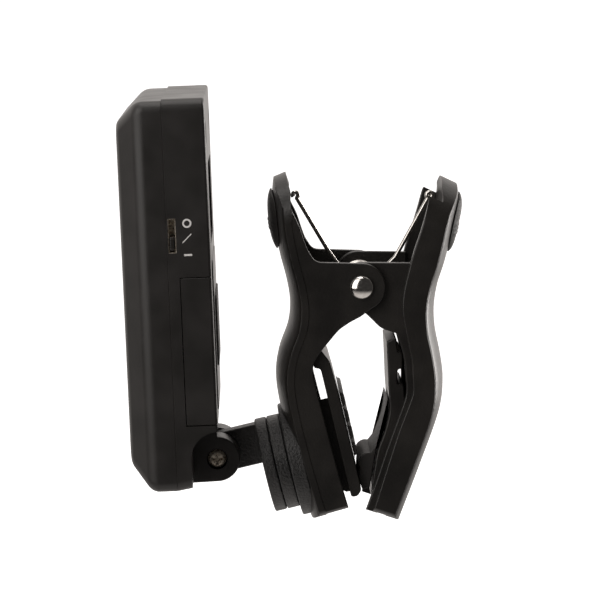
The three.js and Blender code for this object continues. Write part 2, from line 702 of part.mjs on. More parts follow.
function frontCover() {
  const outer = headSolid([
    [PARTING - GAP / 2, 0.25, -0.3, 0.12, 1.6],
    [CHAMFER_START, 0.25, -0.5, 0.12, 1.6],
    [HEAD_FRONT, CHAMFER_TOP, CHAMFER_BOTTOM, CHAMFER_SIDE, 1.6],
  ]);
  const hollow = headSolid([
    [PARTING + 1, WALL + 0.25, WALL, WALL + 0.12, 1.2],
    [CHAMFER_START, WALL + 0.25, WALL, WALL + 0.12, 1.2],
    [HEAD_FRONT + WALL, CHAMFER_TOP + 0.9, CHAMFER_BOTTOM + 0.9, CHAMFER_SIDE + 0.9, 1.2],
  ]);
  const windowHole = roundedRectangle(WINDOW_HALF_WIDTH + GAP, WINDOW_BOTTOM - GAP, WINDOW_TOP + GAP, 1.2);
  const ledgeHole = roundedRectangle(WINDOW_HALF_WIDTH - 1, WINDOW_BOTTOM + 1, WINDOW_TOP - 1, 0.8);
  const buttonHole = rod(BUTTON_RADIUS + GAP, -14, -10, 'x').translate(0, 0, BUTTON_HEIGHT);
  const posts = CASE_SCREWS.map(([y, z]) => solid(rod(2.1, -11.6, -6.6, 'x').translate(0, y, z)));
  const pilots = CASE_SCREWS.map(([y, z]) => solid(rod(0.8 + GAP, -10.4, -5, 'x').translate(0, y, z)));
  return cut(
    joined(cut(outer, hollow), ...posts),
    solid(alongX(windowHole, HEAD_FRONT - 1, HEAD_FRONT + 0.9)),
    solid(alongX(ledgeHole, HEAD_FRONT - 1, -9)),
    solid(buttonHole),
    ...pilots,
  );
}

// the waist in the lower back corner, cut through the whole width
function notch() {
  const shape = new THREE.Shape();
  shape.moveTo(3, 6.75);
  shape.lineTo(HEAD_BACK, 6.75);
  shape.absarc(HEAD_BACK, 2.6, NOTCH_RADIUS, Math.PI / 2, Math.PI, false);
  shape.lineTo(NOTCH_DEPTH, -6);
  shape.lineTo(3, -6);
  shape.closePath();
  return shape;
}

function lugOutline() {
  const shape = new THREE.Shape();
  shape.moveTo(-4.6, -LUG_RADIUS - 0.1);
  shape.lineTo(0, -LUG_RADIUS);
  shape.absarc(0, 0, LUG_RADIUS, -Math.PI / 2, Math.PI / 2, false);
  shape.lineTo(-0.3, 8);
  shape.lineTo(-5.4, 8);
  shape.lineTo(-5.6, -1.5);
  shape.closePath();
  return shape;
}

function rearCase() {
  const outer = headSolid([
    [PARTING + GAP / 2, 0, 0, 0, 1.8],
    [HEAD_BACK - 0.9, 0, 0, 0, 1.8],
    [HEAD_BACK, 0.9, 0.9, 0.9, 1.8],
  ]);
  const hollow = headSolid([
    [PARTING - 1, WALL, WALL, WALL, 1.2],
    [-0.7, WALL, WALL, WALL, 1.2],
  ]);
  const cavityKeep = solid(box(-8, 2, -20, 20, 8.2, 60)).add(solid(box(-8, -4.9, -20, 20, -5, 9)));
  const shell = cut(outer, hollow.intersect(cavityKeep));
  const bayWalls = [
    solid(box(-4.9, 0, -17, TRAY_END + GAP + 1, DOOR_TOP + GAP, DOOR_TOP + GAP + 1)),
    solid(box(-4.9, 0, TRAY_END + GAP, TRAY_END + GAP + 1, 8, DOOR_TOP + GAP + 1)),
  ];
  const posts = CASE_SCREWS.map(([y, z]) => solid(rod(2.1, -5.75, 0, 'x').translate(0, y, z)));
  const body = joined(shell, ...bayWalls, ...posts);
  const waisted = cut(body, solid(alongY(notch(), -20, 20)));
  const lug = solid(alongY(lugOutline(), -LUG_HALF_WIDTH, LUG_HALF_WIDTH));
  const panel = alongX(roundedRectangle(PANEL_HALF_WIDTH, PANEL_BOTTOM, PANEL_TOP, 2), 0.2, PANEL_FACE);
  const strip = roundedRectangle(STRIP_HALF_WIDTH + GAP, STRIP_BOTTOM - GAP, STRIP_TOP + GAP, 1.8);
  const label = roundedRectangle(LABEL_HALF_WIDTH + GAP, LABEL_BOTTOM - GAP, LABEL_TOP + GAP, 1.2);
  const bayFront = DOOR_FRONT - GAP;
  const doorInside = -HEAD_HALF_WIDTH + DOOR_THICKNESS;
  const screwHoles = CASE_SCREWS.flatMap(([y, z]) => [
    solid(rod(0.8 + GAP, -8, 3, 'x').translate(0, y, z)),
    solid(rod(1.75, -0.8, 3, 'x').translate(0, y, z)),
  ]);
  return cut(
    joined(waisted, lug, solid(panel)),
    solid(alongX(strip, PANEL_FACE - GAP, 3)),
    solid(box(-4.05, 8, -LUG_SLOT_HALF, LUG_SLOT_HALF, -8, 7)),
    solid(rod(HINGE_SCREW_RADIUS + GAP, -8, 8, 'y')),
    solid(rod(2.1, -8, -4.3, 'y')),
    solid(polygonRod(2.35, 4.2, 8, 6)),
    solid(box(bayFront, 3, -20, doorInside + GAP, DOOR_BOTTOM - GAP, DOOR_TOP + GAP)),
    solid(box(bayFront, TRAY_BACK + GAP, doorInside, TRAY_END + GAP, DOOR_BOTTOM - GAP, DOOR_TOP + GAP)),
    solid(box(SLOT_FRONT, SLOT_BACK, -20, -16, SLOT_BOTTOM, SLOT_TOP)),
    solid(alongX(label, LABEL_FLOOR, 3)),
    ...screwHoles,
  );
}

function batteryDrawer() {
  const outside = -HEAD_HALF_WIDTH;
  const door = box(DOOR_FRONT, HEAD_BACK, outside, outside + DOOR_THICKNESS, DOOR_BOTTOM, DOOR_TOP);
  const bevel = box(-0.7, 0.7, -0.7, 0.7, 0, 40).rotateZ(Math.PI / 4).translate(HEAD_BACK, outside, 0);
  const tray = box(DOOR_FRONT + 0.1, TRAY_BACK, -17.2, TRAY_END, DOOR_BOTTOM + 0.1, DOOR_TOP - 0.1);
  const middle = (DOOR_BOTTOM + DOOR_TOP) / 2;
  const pocket = rod(CELL_RADIUS + GAP, -8, TRAY_BACK - GAP, 'x', 32).translate(0, CELL_Y, middle);
  const view = rod(CELL_RADIUS - 2, -8, 3, 'x', 32).translate(0, CELL_Y, middle);
  return cut(joined(solid(door), solid(tray)), solid(bevel), solid(pocket), solid(view));
}

function coinCell() {
  const front = CELL_BACK - CELL_THICKNESS;
  const capRadius = CELL_RADIUS - 1.2;
  const profile = [
    [0, front], [capRadius, front], [capRadius, front + 0.5],
    [CELL_RADIUS, front + 0.8], [CELL_RADIUS, CELL_BACK], [0, CELL_BACK],
  ];
  return solid(turned(profile, 'x', 32).translate(0, CELL_Y, (DOOR_BOTTOM + DOOR_TOP) / 2));
}

function circuitBoard() {
  const board = roundedRectangle(15.6, 4.2, 54, 1);
  const corners = CASE_SCREWS.map(([y, z]) => {
    const [low, high] = y > 0 ? [y - 2.5, 20] : [-20, y + 2.5];
    return solid(box(-9, -2, low, high, z - 2.5, z > 40 ? 60 : z + 2.5));
  });
  return cut(solid(alongX(board, -6.6, -5.7)), ...corners);
}

// a bent strip on the board that reaches towards the cell
function batteryContact(y, z, width) {
  const outline = [[-5.4, -3], [-5.4, 3], [-5.15, 3], [-5.15, -1.6], [-4.45, -2.8], [-4.6, -3]];
  const leg = new THREE.Shape(outline.map(([x, height]) => new THREE.Vector2(x, z + height)));
  return solid(alongY(leg, y - width / 2, y + width / 2));
}

function hingeScrew() {
  const profile = [
    [0, -5.6], [1.0, -5.55], [HINGE_HEAD_RADIUS, -5.1], [HINGE_HEAD_RADIUS, -4.6],
    [HINGE_SCREW_RADIUS, -4.6], [HINGE_SCREW_RADIUS, 5.5], [0, 5.5],
  ];
  const cross = [[0.95, 0.2], [0.2, 0.95]].map(([x, z]) => solid(box(-x, x, -6, -5.15, -z, z)));
  return cut(solid(turned(profile, 'y')), ...cross);
}

function hingeNut() {
  return cut(solid(polygonRod(2.0, 4.5, 5.6, 6)), solid(rod(HINGE_SCREW_RADIUS + GAP, 4, 6, 'y')));
}

function caseScrew(y, z) {
  const profile = [[0, -9.9], [0.8, -9.4], [0.8, -0.5], [1.4, -0.5], [1.4, -0.1], [0.9, 0.25], [0, 0.3]];
  const cross = [[0.85, 0.18], [0.18, 0.85]].map(([a, b]) => solid(box(-0.25, 1, -a, a, -b, b)));
  return cut(solid(turned(profile, 'x', 12)), ...cross).translate([0, y, z]);
}

function modeButton() {
  const [flange, face] = [BUTTON_RADIUS + 0.9, -12.6];
  const profile = [
    [0, -9.4], [flange, -9.4], [flange, -10.0], [BUTTON_RADIUS, -10.0],
    [BUTTON_RADIUS, face + 0.3], [BUTTON_RADIUS - 0.6, face], [0, face],
  ];
  return solid(turned(profile, 'x', 32).translate(0, 0, BUTTON_HEIGHT));
}

function switchKnob() {
  const knobTop = KNOB_BOTTOM + KNOB_LENGTH;
  const stem = box(SLOT_FRONT + 0.3, SLOT_BACK - 0.3, -17.0, -15.2, KNOB_BOTTOM + 0.3, knobTop - 0.3);
  const cap = box(SLOT_FRONT + 0.25, SLOT_BACK - 0.25, -18.1, -16.6, KNOB_BOTTOM, knobTop);
  return joined(solid(stem), solid(cap));
}

function switchBody() {
  const body = solid(box(-5.5, -3.9, -16.1, -13.2, SLOT_BOTTOM - 1, SLOT_TOP + 1));
  const well = box(SLOT_FRONT - 1, SLOT_BACK + 0.1, -18, -14.9, SLOT_BOTTOM + 0.1, SLOT_TOP - 0.1);
  return cut(body, solid(well));
}

// ---- assembly ----

place(clip, 'fixed_jaw', fixedJaw(), 'clipPlastic');
place(clip, 'moving_jaw', movingJaw(), 'clipPlastic');
place(clip, 'pivot_rivet', rivet(), 'steel');
place(clip, 'pivot_sleeve', sleeve(), 'steel');
place(clip, 'torsion_spring', torsionSpring(), 'steel');
place(clip, 'fixed_finger_pad', fingerPad(fixedEdge, -1), 'rubber');
place(clip, 'moving_finger_pad', fingerPad(movingEdge, 1), 'rubber');
place(clip, 'moving_pad_carrier', movingPadCarrier(), 'clipPlastic');
place(clip, 'moving_rubber_pad', nosePad(), 'rubber');

place(swivel, 'fixed_pad_carrier', fixedPadCarrier(), 'clipPlastic');
place(swivel, 'fixed_rubber_pad', toothedPad(), 'rubber');
place(swivel, 'swivel_arm', swivelArm(), 'clipPlastic');
place(swivel, 'swivel_disc', swivelDisc(), 'clipPlastic');
place(swivel, 'swivel_washer', swivelWasher(), 'steel');
place(swivel, 'swivel_screw', swivelScrew(), 'steel');

place(head, 'front_cover', frontCover(), 'casePlastic');
place(head, 'rear_case', rearCase(), 'casePlastic');
place(head, 'battery_drawer', batteryDrawer(), 'casePlastic');
place(head, 'coin_cell', coinCell(), 'steel');
place(head, 'circuit_board', circuitBoard(), 'board');
place(head, 'hinge_screw', hingeScrew(), 'steel');
place(head, 'hinge_nut', hingeNut(), 'steel');
place(head, 'mode_button', modeButton(), 'rubber');
place(head, 'switch_knob', switchKnob(), 'clipPlastic');
place(head, 'switch_body', switchBody(), 'steel');
place(head, 'battery_contact_plus', batteryContact(1.8, 19, 2), 'brass');
place(head, 'battery_contact_minus', batteryContact(-5.6, 19, 3), 'brass');
CASE_SCREWS.forEach(([y, z], i) => place(head, `case_screw_${i + 1}`, caseScrew(y, z), 'steel'));

const windowPane = roundedRectangle(WINDOW_HALF_WIDTH, WINDOW_BOTTOM, WINDOW_TOP, 1);
place(head, 'display_window', solid(alongX(windowPane, HEAD_FRONT + 0.05, HEAD_FRONT + 0.75)), 'gloss');
const lcd = roundedRectangle(11.4, WINDOW_BOTTOM + 1, WINDOW_TOP - 1, 0.4);
place(head, 'lcd_panel', solid(alongX(lcd, -10.6, -8.8)), 'screen');
const label = roundedRectangle(LABEL_HALF_WIDTH, LABEL_BOTTOM, LABEL_TOP, 1);
place(head, 'label_plate', solid(alongX(label, LABEL_FLOOR + GAP, LABEL_FLOOR + GAP + 0.15)), 'gloss');
const strip = roundedRectangle(STRIP_HALF_WIDTH, STRIP_BOTTOM, STRIP_TOP, 1.5);
place(head, 'rear_grip_strip', solid(alongX(strip, PANEL_FACE, PANEL_FACE + 0.3)), 'rubber');
place(head, 'piezo_disc', solid(rod(5, -2.6, -2.2, 'x', 32).translate(0, 9.8, 40)), 'brass');

export default tuner;
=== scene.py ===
"""Looks of the clip on tuner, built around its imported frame.

Shapes are written in millimetres, in the frame of the assembly that they belong to: the clip's, on its
pivot, the swivel's, along its own axis, or the head's, on the tilt hinge. They are placed in metres.
"""

import json
import math

import bmesh
import bpy
from mathutils import Matrix, Vector

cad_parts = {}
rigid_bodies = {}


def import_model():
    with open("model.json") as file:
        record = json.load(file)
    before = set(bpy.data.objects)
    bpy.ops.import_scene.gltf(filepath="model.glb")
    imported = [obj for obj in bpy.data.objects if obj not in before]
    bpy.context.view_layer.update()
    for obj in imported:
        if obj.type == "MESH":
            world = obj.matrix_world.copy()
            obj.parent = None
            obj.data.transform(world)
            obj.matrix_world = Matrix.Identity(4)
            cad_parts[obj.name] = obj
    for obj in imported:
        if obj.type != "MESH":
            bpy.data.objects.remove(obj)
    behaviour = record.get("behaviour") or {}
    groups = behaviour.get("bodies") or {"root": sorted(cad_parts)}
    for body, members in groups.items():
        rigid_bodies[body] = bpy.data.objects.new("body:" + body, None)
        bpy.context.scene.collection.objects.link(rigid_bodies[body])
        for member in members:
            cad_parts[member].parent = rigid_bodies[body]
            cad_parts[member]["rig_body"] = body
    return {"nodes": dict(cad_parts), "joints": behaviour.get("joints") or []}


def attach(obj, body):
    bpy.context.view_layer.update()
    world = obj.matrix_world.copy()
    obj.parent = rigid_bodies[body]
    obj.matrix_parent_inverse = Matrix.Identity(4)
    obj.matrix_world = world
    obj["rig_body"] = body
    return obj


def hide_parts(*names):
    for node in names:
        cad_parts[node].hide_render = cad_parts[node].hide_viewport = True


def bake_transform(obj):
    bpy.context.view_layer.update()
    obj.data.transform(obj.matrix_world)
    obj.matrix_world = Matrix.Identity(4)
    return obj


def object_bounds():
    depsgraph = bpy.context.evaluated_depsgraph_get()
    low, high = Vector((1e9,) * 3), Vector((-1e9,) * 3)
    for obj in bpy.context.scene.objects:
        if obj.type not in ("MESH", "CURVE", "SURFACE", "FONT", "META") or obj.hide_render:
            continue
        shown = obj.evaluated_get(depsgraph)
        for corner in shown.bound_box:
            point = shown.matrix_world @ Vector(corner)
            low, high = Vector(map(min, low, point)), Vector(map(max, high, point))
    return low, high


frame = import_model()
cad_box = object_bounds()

MM = 0.001
JOINTS = {joint["name"]: joint for joint in frame["joints"]}


def leaning(place, axis):
    """A frame at place, in metres, whose X axis points along axis in the XZ plane."""
    turn = Matrix.Rotation(-math.atan2(axis[2], axis[0]), 4, "Y")
    return Matrix.Scale(MM, 4) @ Matrix.Translation(Vector(place) / MM) @ turn


PIVOT = JOINTS["jaw_open"]["pos_m"]
HINGE = JOINTS["tilt"]["pos_m"]
CLIP = leaning(PIVOT, (1, 0, 0))
SWIVEL = leaning(HINGE, JOINTS["swivel"]["axis"])
HEAD = leaning(HINGE, JOINTS["button_press"]["axis"])

# clip arms: drawn between two levels, then trimmed to their ends
ARM_HALF_WIDTH = 9.0
ARM_CROWN = 1.85
CROWN_POWER = 2.4
ARM_TOP = 16.3
ARM_BOTTOM = -37.0
DRAWN_LOW = -39
DRAWN_HIGH = 18
HANDLE_END = {"x": 12.9, "lean": 24, "length": 7}
JAW_END = {"x": 4.9, "lean": 17, "length": 2}
BACK_THICKNESS = 0.9
FIXED_RIBS = (-11.9, -18.6)
MOVING_RIBS = (-12, -18.8)
EAR_RADIUS = 3.65
RIVET_RADIUS = 1.8
RIVET_HEIGHT = 0.85
PIN_HOLE = 1.3
RIM_WIDTH = 0.95
RIM_HEIGHT = 0.14

# swivel, along its axis from the hinge
SWIVEL_DROP = 3.84
ARM_DISC = (6.76, 8.62)
MIDDLE_DISC = (8.72, 10.72)
BOSS = (10.84, 13.2)
DISC_RADIUS = 7.5
BOSS_RADIUS = 9.0
SCREW_SEAT = 16.2
SCREW_BORE = 1.5
HINGE_BORE = 1.25
TONGUE_HALF_HEIGHT = 3.15
TONGUE_HALF_WIDTH = 1.4

# head: X to the back, Z up, on the hinge
HEAD_BACK = 0.5
HEAD_FRONT = -12.95
HEAD_BOTTOM = -2.05
HEAD_TOP = 57.0
HEAD_HALF_WIDTH = 18.0
PARTING = -5.9
CHAMFER_START = -9.7
WALL = 1.5
NOTCH_RADIUS = 4.15
NOTCH_DEPTH = -3.6
LUG_HALF_WIDTH = 5.75
LUG_RADIUS = 3.55
DOOR = {"front": -4.1, "bottom": 7.85, "top": 30.25}
SLOT = {"front": -5.7, "back": -4.5, "bottom": 34.05, "top": 39.25}
WINDOW = (12.6, 21.0, 49.0)
BUTTON_HEIGHT = 11.5
BUTTON_RADIUS = 3.4
PANEL = (11.0, 8.6, 31.8)
PANEL_FACE = HEAD_BACK + 0.2
STRIP = (8.0, 15.0, 26.0)
LABEL = (8.7, 34.2, 46.4)
CASE_SCREWS = ((-13.6, 51.6), (13.6, 51.6), (14.3, 10.6))
POST_RADIUS = 2.1
PILOT_RADIUS = 1.1
SCREW_POCKET = 1.75
DISPLAY_FACE = -10.62
COIN = {"radius": 10, "thickness": 3.2, "back": -0.9, "aside": -5.6}


# ---- shapes ----


def steps(start, end, count):
    """count + 1 evenly spaced numbers from start to end."""
    return [start + (end - start) * i / count for i in range(count + 1)]


def arc(x, z, radius, start, end, count):
    """Points of an arc, its angles in degrees."""
    angles = [math.radians(angle) for angle in steps(start, end, count)]
    return [(x + radius * math.cos(a), z + radius * math.sin(a)) for a in angles]


def soften(points, radius, count=4, closed=True):
    """The same outline with its corners rounded."""
    smooth = []
    for i, point in enumerate(points):
        if not closed and i in (0, len(points) - 1):
            smooth.append(tuple(point))
            continue
        corner = Vector(point)
        before = Vector(points[i - 1]) - corner
        after = Vector(points[(i + 1) % len(points)]) - corner
        reach = min(radius, before.length * 0.45, after.length * 0.45)
        start = corner + before.normalized() * reach
        end = corner + after.normalized() * reach
        for t in steps(0, 1, count):
            smooth.append(tuple((1 - t) ** 2 * start + 2 * t * (1 - t) * corner + t * t * end))
    return smooth


def rectangle(half_width, bottom, top, radius, count=6):
    """Corners, anticlockwise, of a rectangle about the middle line, with round corners."""
    points = []
    corners = ((1, bottom, 1), (1, top, -1), (-1, top, -1), (-1, bottom, 1))
    for i, (side, level, inwards) in enumerate(corners):
        start = 90 * (i - 1)
        x, z = side * (half_width - radius), level + inwards * radius
        points += arc(x, z, radius, start, start + 90, count)
    return points


def through(knots):
    """A smooth curve through (z, x) knots, as a function of z."""
    knots = sorted(knots)
    line = []
    for i in range(len(knots) - 1):
        p0, p1, p2, p3 = (Vector(knots[min(max(i + j, 0), len(knots) - 1)]) for j in (-1, 0, 1, 2))
        v0, v1 = (p2 - p0) / 2, (p3 - p1) / 2
        for t in steps(0, 1, 12)[:-1]:
            cubic = (2 * p1 - 2 * p2 + v0 + v1) * t**3
            square = (3 * p2 - 3 * p1 - 2 * v0 - v1) * t**2
            line.append(cubic + square + v0 * t + p1)
    line.append(Vector(knots[-1]))

    def curve(z):
        for low, high in zip(line, line[1:]):
            if z <= high.x:
                return low.y + (high.y - low.y) * (max(z, low.x) - low.x) / (high.x - low.x)
        return line[-1].y

    return curve


def loft(rings, closed=False):
    """A skin over rings of points, with a face on each end unless the last ring joins the first."""
    shape = bmesh.new()
    rows = [[shape.verts.new(point) for point in ring] for ring in rings]
    pairs = list(zip(rows, rows[1:])) + ([(rows[-1], rows[0])] if closed else [])
    for low, high in pairs:
        for i in range(len(low)):
            j = (i + 1) % len(low)
            shape.faces.new((low[i], low[j], high[j], high[i]))
    if not closed:
        shape.faces.new(rows[0][::-1])
        shape.faces.new(rows[-1])
    bmesh.ops.recalc_face_normals(shape, faces=shape.faces)
    return shape


def inset(outline, amount):
    """An outline moved inwards."""
    area = sum(a[0] * b[1] - b[0] * a[1] for a, b in zip(outline, outline[1:] + outline[:1]))
    side = 1 if area > 0 else -1
    moved = []
    for before, point, after in zip(outline[-1:] + outline[:-1], outline, outline[1:] + outline[:1]):
        into = (Vector(point) - Vector(before)).normalized()
        out = (Vector(after) - Vector(point)).normalized()
        normal = Vector((-(into.y + out.y), into.x + out.x)) * side
        moved.append(tuple(Vector(point) + normal * (2 * amount / max(normal.length_squared, 1.0))))
    return moved


def across(u, v, depth):
    """An outline's point in the XZ plane, at a depth along Y."""
    return Vector((u, depth, v))


def facing(u, v, depth):
    """An outline's point in the YZ plane, at a depth along X."""
    return Vector((depth, u, v))


def plate(outline, low, high, way=across, low_edge=0.2, high_edge=0.2, count=3):
    """A plate from low to high whose two rims are rounded."""
    rings = []
    for angle in steps(0, math.pi / 2, count):
        rings.append((low_edge * (1 - math.sin(angle)), low + low_edge * (1 - math.cos(angle))))
    for angle in steps(math.pi / 2, 0, count):
        rings.append((high_edge * (1 - math.sin(angle)), high - high_edge * (1 - math.cos(angle))))
    return loft([[way(u, v, depth) for u, v in inset(outline, amount)] for amount, depth in rings])


def lathe(profile, axis="x", height=0.0, aside=0.0, segments=72):
    """A profile of (radius, distance) turned about the X or Y axis, at a height and place aside."""
    rings = []
    for i in range(segments):
        angle = 2 * math.pi * i / segments
        c, s = math.cos(angle), math.sin(angle)
        if axis == "x":
            rings.append([Vector((d, r * c + aside, r * s + height)) for r, d in profile])
        else:
            rings.append([Vector((r * s + aside, d, r * c + height)) for r, d in profile])
    shape = loft(rings, closed=True)
    bmesh.ops.remove_doubles(shape, verts=shape.verts, dist=1e-4)
    bmesh.ops.recalc_face_normals(shape, faces=shape.faces)
    return shape


def rod(radius, low, high, axis="x", height=0.0, aside=0.0, segments=48):
    return lathe([(0, low), (radius, low), (radius, high), (0, high)], axis, height, aside, segments)


def block(x0, x1, y0, y1, z0, z1):
    return plate([(x0, z0), (x1, z0), (x1, z1), (x0, z1)], y0, y1, low_edge=0, high_edge=0, count=1)


def both(outline, inner, outer, edge):
    """Two plates of one outline, one on each side of the middle."""
    spans = ((-outer, -inner), (inner, outer))
    return [plate(outline, low, high, low_edge=edge, high_edge=edge) for low, high in spans]


# ---- joining and cutting ----


def temporary(shape):
    mesh = bpy.data.meshes.new("temporary")
    bmesh.ops.remove_doubles(shape, verts=shape.verts, dist=1e-5)
    shape.to_mesh(mesh)
    shape.free()
    item = bpy.data.objects.new("temporary", mesh)
    bpy.context.scene.collection.objects.link(item)
    return item


def combine(base, operation, *others):
    """Joins (UNION), cuts (DIFFERENCE) or keeps what is common (INTERSECT)."""
    items = [temporary(base)] + [temporary(other) for other in others]
    for tool in items[1:]:
        step = items[0].modifiers.new("combine", "BOOLEAN")
        step.operation = operation
        step.object = tool
        step.solver = "EXACT"
    graph = bpy.context.evaluated_depsgraph_get()
    result = bmesh.new()
    result.from_mesh(items[0].evaluated_get(graph).to_mesh())
    for item in items:
        mesh = item.data
        bpy.data.objects.remove(item)
        bpy.data.meshes.remove(mesh)
    return result


def copy_of(node):
    """A CAD node's shape, in millimetres of the whole frame, with its flat faces whole again."""
    shape = bmesh.new()
    shape.from_mesh(frame["nodes"][node].data)
    bmesh.ops.transform(shape, matrix=Matrix.Scale(1 / MM, 4), verts=shape.verts)
    bmesh.ops.remove_doubles(shape, verts=shape.verts, dist=1e-4)
    bmesh.ops.dissolve_limit(shape, angle_limit=math.radians(1), verts=shape.verts, edges=shape.edges)
    return shape


def bevelled(shape, width):
    """The shape with the edges that turn by more than 40 degrees rounded."""
    limit = math.radians(40)
    folds = [edge for edge in shape.edges if len(edge.link_faces) == 2]
    sharp = [edge for edge in folds if edge.calc_face_angle(0) > limit]
    bmesh.ops.bevel(
        shape, geom=sharp, offset=width, offset_type="OFFSET", segments=3, profile=0.5,
        affect="EDGES", clamp_overlap=True,
    )
    return shape


WHOLE = Matrix.Scale(MM, 4)


def piece(name, shape, place, material, body, slot, *nodes, sharp=34):
    """Puts a finished shape in the scene: its body and the CAD nodes that it stands for. The slot is not
    used.
    """
    mesh = bpy.data.meshes.new(name)
    bmesh.ops.recalc_face_normals(shape, faces=shape.faces)
    shape.to_mesh(mesh)
    shape.free()
    mesh.transform(place)
    mesh.materials.append(material)
    mesh.shade_smooth()
    mesh.set_sharp_from_angle(angle=math.radians(sharp))
    item = bpy.data.objects.new(name, mesh)
    bpy.context.scene.collection.objects.link(item)
    normals = item.modifiers.new("normals", "WEIGHTED_NORMAL")
    normals.keep_sharp = True
    if body:
        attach(item, body)
    if nodes:
        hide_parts(*nodes)
    return item


# ---- materials ----


class Finish:
    """A node material around one Principled shader."""

    def __init__(self, name):
        self.material = bpy.data.materials.new(name)
        self.material.use_nodes = True
        self.tree = self.material.node_tree
        self.shader = self.tree.nodes["Principled BSDF"]
        self.place = self.add("ShaderNodeTexCoord").outputs["Object"]

    def add(self, kind, **inputs):
        node = self.tree.nodes.new(kind)
        for name, value in inputs.items():
            node.inputs[name.replace("_", " ")].default_value = value
        return node

    def link(self, source, target):
        self.tree.links.new(source, target)

    def constant(self, **values):
        for name, value in values.items():
            self.shader.inputs[name.replace("_", " ")].default_value = value

    def stretched(self, scale):
        """Coordinates drawn out by a different amount along each axis."""
        node = self.add("ShaderNodeMapping")
        node.inputs["Scale"].default_value = scale
        self.link(self.place, node.inputs["Vector"])
        return node.outputs["Vector"]

    def noise(self, size, detail=3.0, place=None):
        """Noise whose features are about size millimetres across."""
        node = self.add("ShaderNodeTexNoise", Scale=1 / (size * MM), Detail=detail)
        self.link(place or self.place, node.inputs["Vector"])
        return node.outputs["Fac"]

    def ramp(self, source, low, high, start=0.35, end=0.65):
        """Colours from low to high as source goes from start to end."""
        node = self.add("ShaderNodeValToRGB")
        for stop, position, colour in zip(node.color_ramp.elements, (start, end), (low, high)):
            stop.position = position
            stop.color = (*colour, 1)
        self.link(source, node.inputs["Fac"])
        return node.outputs["Color"]

    def spread(self, source, low, high, start=0.3, end=0.7):
        """A number from low to high as source goes from start to end."""
        node = self.add("ShaderNodeMapRange")
        for name, value in (("From Min", start), ("From Max", end), ("To Min", low), ("To Max", high)):
            node.inputs[name].default_value = value
        self.link(source, node.inputs["Value"])
        return node.outputs["Result"]

    def bump(self, source, height):
        """A bump height millimetres high."""
        node = self.add("ShaderNodeBump", Strength=1.0, Distance=height * MM)
        self.link(source, node.inputs["Height"])
        return node.outputs["Normal"]

    def surface(self, colour=None, roughness=None, normal=None):
        for source, name in ((colour, "Base Color"), (roughness, "Roughness"), (normal, "Normal")):
            if source:
                self.link(source, self.shader.inputs[name])
        return self.material


def moulded(name, dark, light, roughness, grain, height):
    """Moulded black plastic: a fine grain, and faint clouds in its colour and gloss."""
    f = Finish(name)
    clouds = f.noise(6.0, 2.0)
    fine = f.noise(grain, 4.0)
    colour = f.ramp(clouds, dark, light)
    rough = f.spread(clouds, roughness - 0.04, roughness + 0.05)
    f.constant(Specular_IOR_Level=0.5, IOR=1.5)
    return f.surface(colour, rough, f.bump(fine, height))


def rubber_finish():
    f = Finish("soft_rubber")
    dust = f.noise(0.35, 4.0)
    colour = f.ramp(f.noise(2.5), (0.013, 0.012, 0.011), (0.022, 0.02, 0.018))
    f.constant(Specular_IOR_Level=0.42, Sheen_Weight=0.08, Sheen_Roughness=0.5)
    return f.surface(colour, f.spread(dust, 0.52, 0.68), f.bump(dust, 0.012))


def gloss_finish(name, dark, light, roughness):
    f = Finish(name)
    clouds = f.noise(4.0)
    f.constant(Coat_Weight=0.4, Coat_Roughness=0.04)
    return f.surface(f.ramp(clouds, dark, light), f.spread(clouds, roughness, roughness + 0.05))


def metal_finish(name, dark, light, low, high, grain, height, stretch=(1, 1, 1), metallic=1.0):
    """Plated or drawn metal: fine streaks or pits in its gloss."""
    f = Finish(name)
    where = f.stretched(stretch)
    fine = f.noise(grain, 4.0, where)
    f.constant(Metallic=metallic)
    return f.surface(f.ramp(fine, dark, light), f.spread(fine, low, high), f.bump(fine, height))


def screen_finish():
    f = Finish("liquid_crystal")
    clouds = f.noise(9.0)
    colour = f.ramp(clouds, (0.20, 0.23, 0.19), (0.27, 0.30, 0.25))
    fine = f.noise(0.12)
    f.constant(Specular_IOR_Level=0.5)
    return f.surface(colour, f.spread(fine, 0.22, 0.3), f.bump(fine, 0.001))


def smoked_finish():
    """Tinted clear window over the display."""
    f = Finish("smoked_window")
    f.constant(Transmission_Weight=0.92, IOR=1.49)
    haze = f.noise(3.0)
    return f.surface(f.ramp(haze, (0.36, 0.38, 0.4), (0.42, 0.44, 0.46)), f.spread(haze, 0.02, 0.05))


def board_finish():
    f = Finish("circuit_board")
    weave = f.noise(0.4, 2.0)
    tracks = f.add("ShaderNodeTexBrick", Scale=1 / (4 * MM))
    f.link(f.place, tracks.inputs["Vector"])
    greens = {"Color1": (0.02, 0.12, 0.05), "Color2": (0.03, 0.16, 0.07), "Mortar": (0.05, 0.24, 0.1)}
    for name, colour in greens.items():
        tracks.inputs[name].default_value = (*colour, 1)
    return f.surface(tracks.outputs["Color"], f.spread(weave, 0.35, 0.5), f.bump(weave, 0.01))


def print_finish():
    f = Finish("white_print")
    ink = f.noise(0.25)
    return f.surface(f.ramp(ink, (0.78, 0.77, 0.75), (0.88, 0.87, 0.85)), f.spread(ink, 0.45, 0.6))


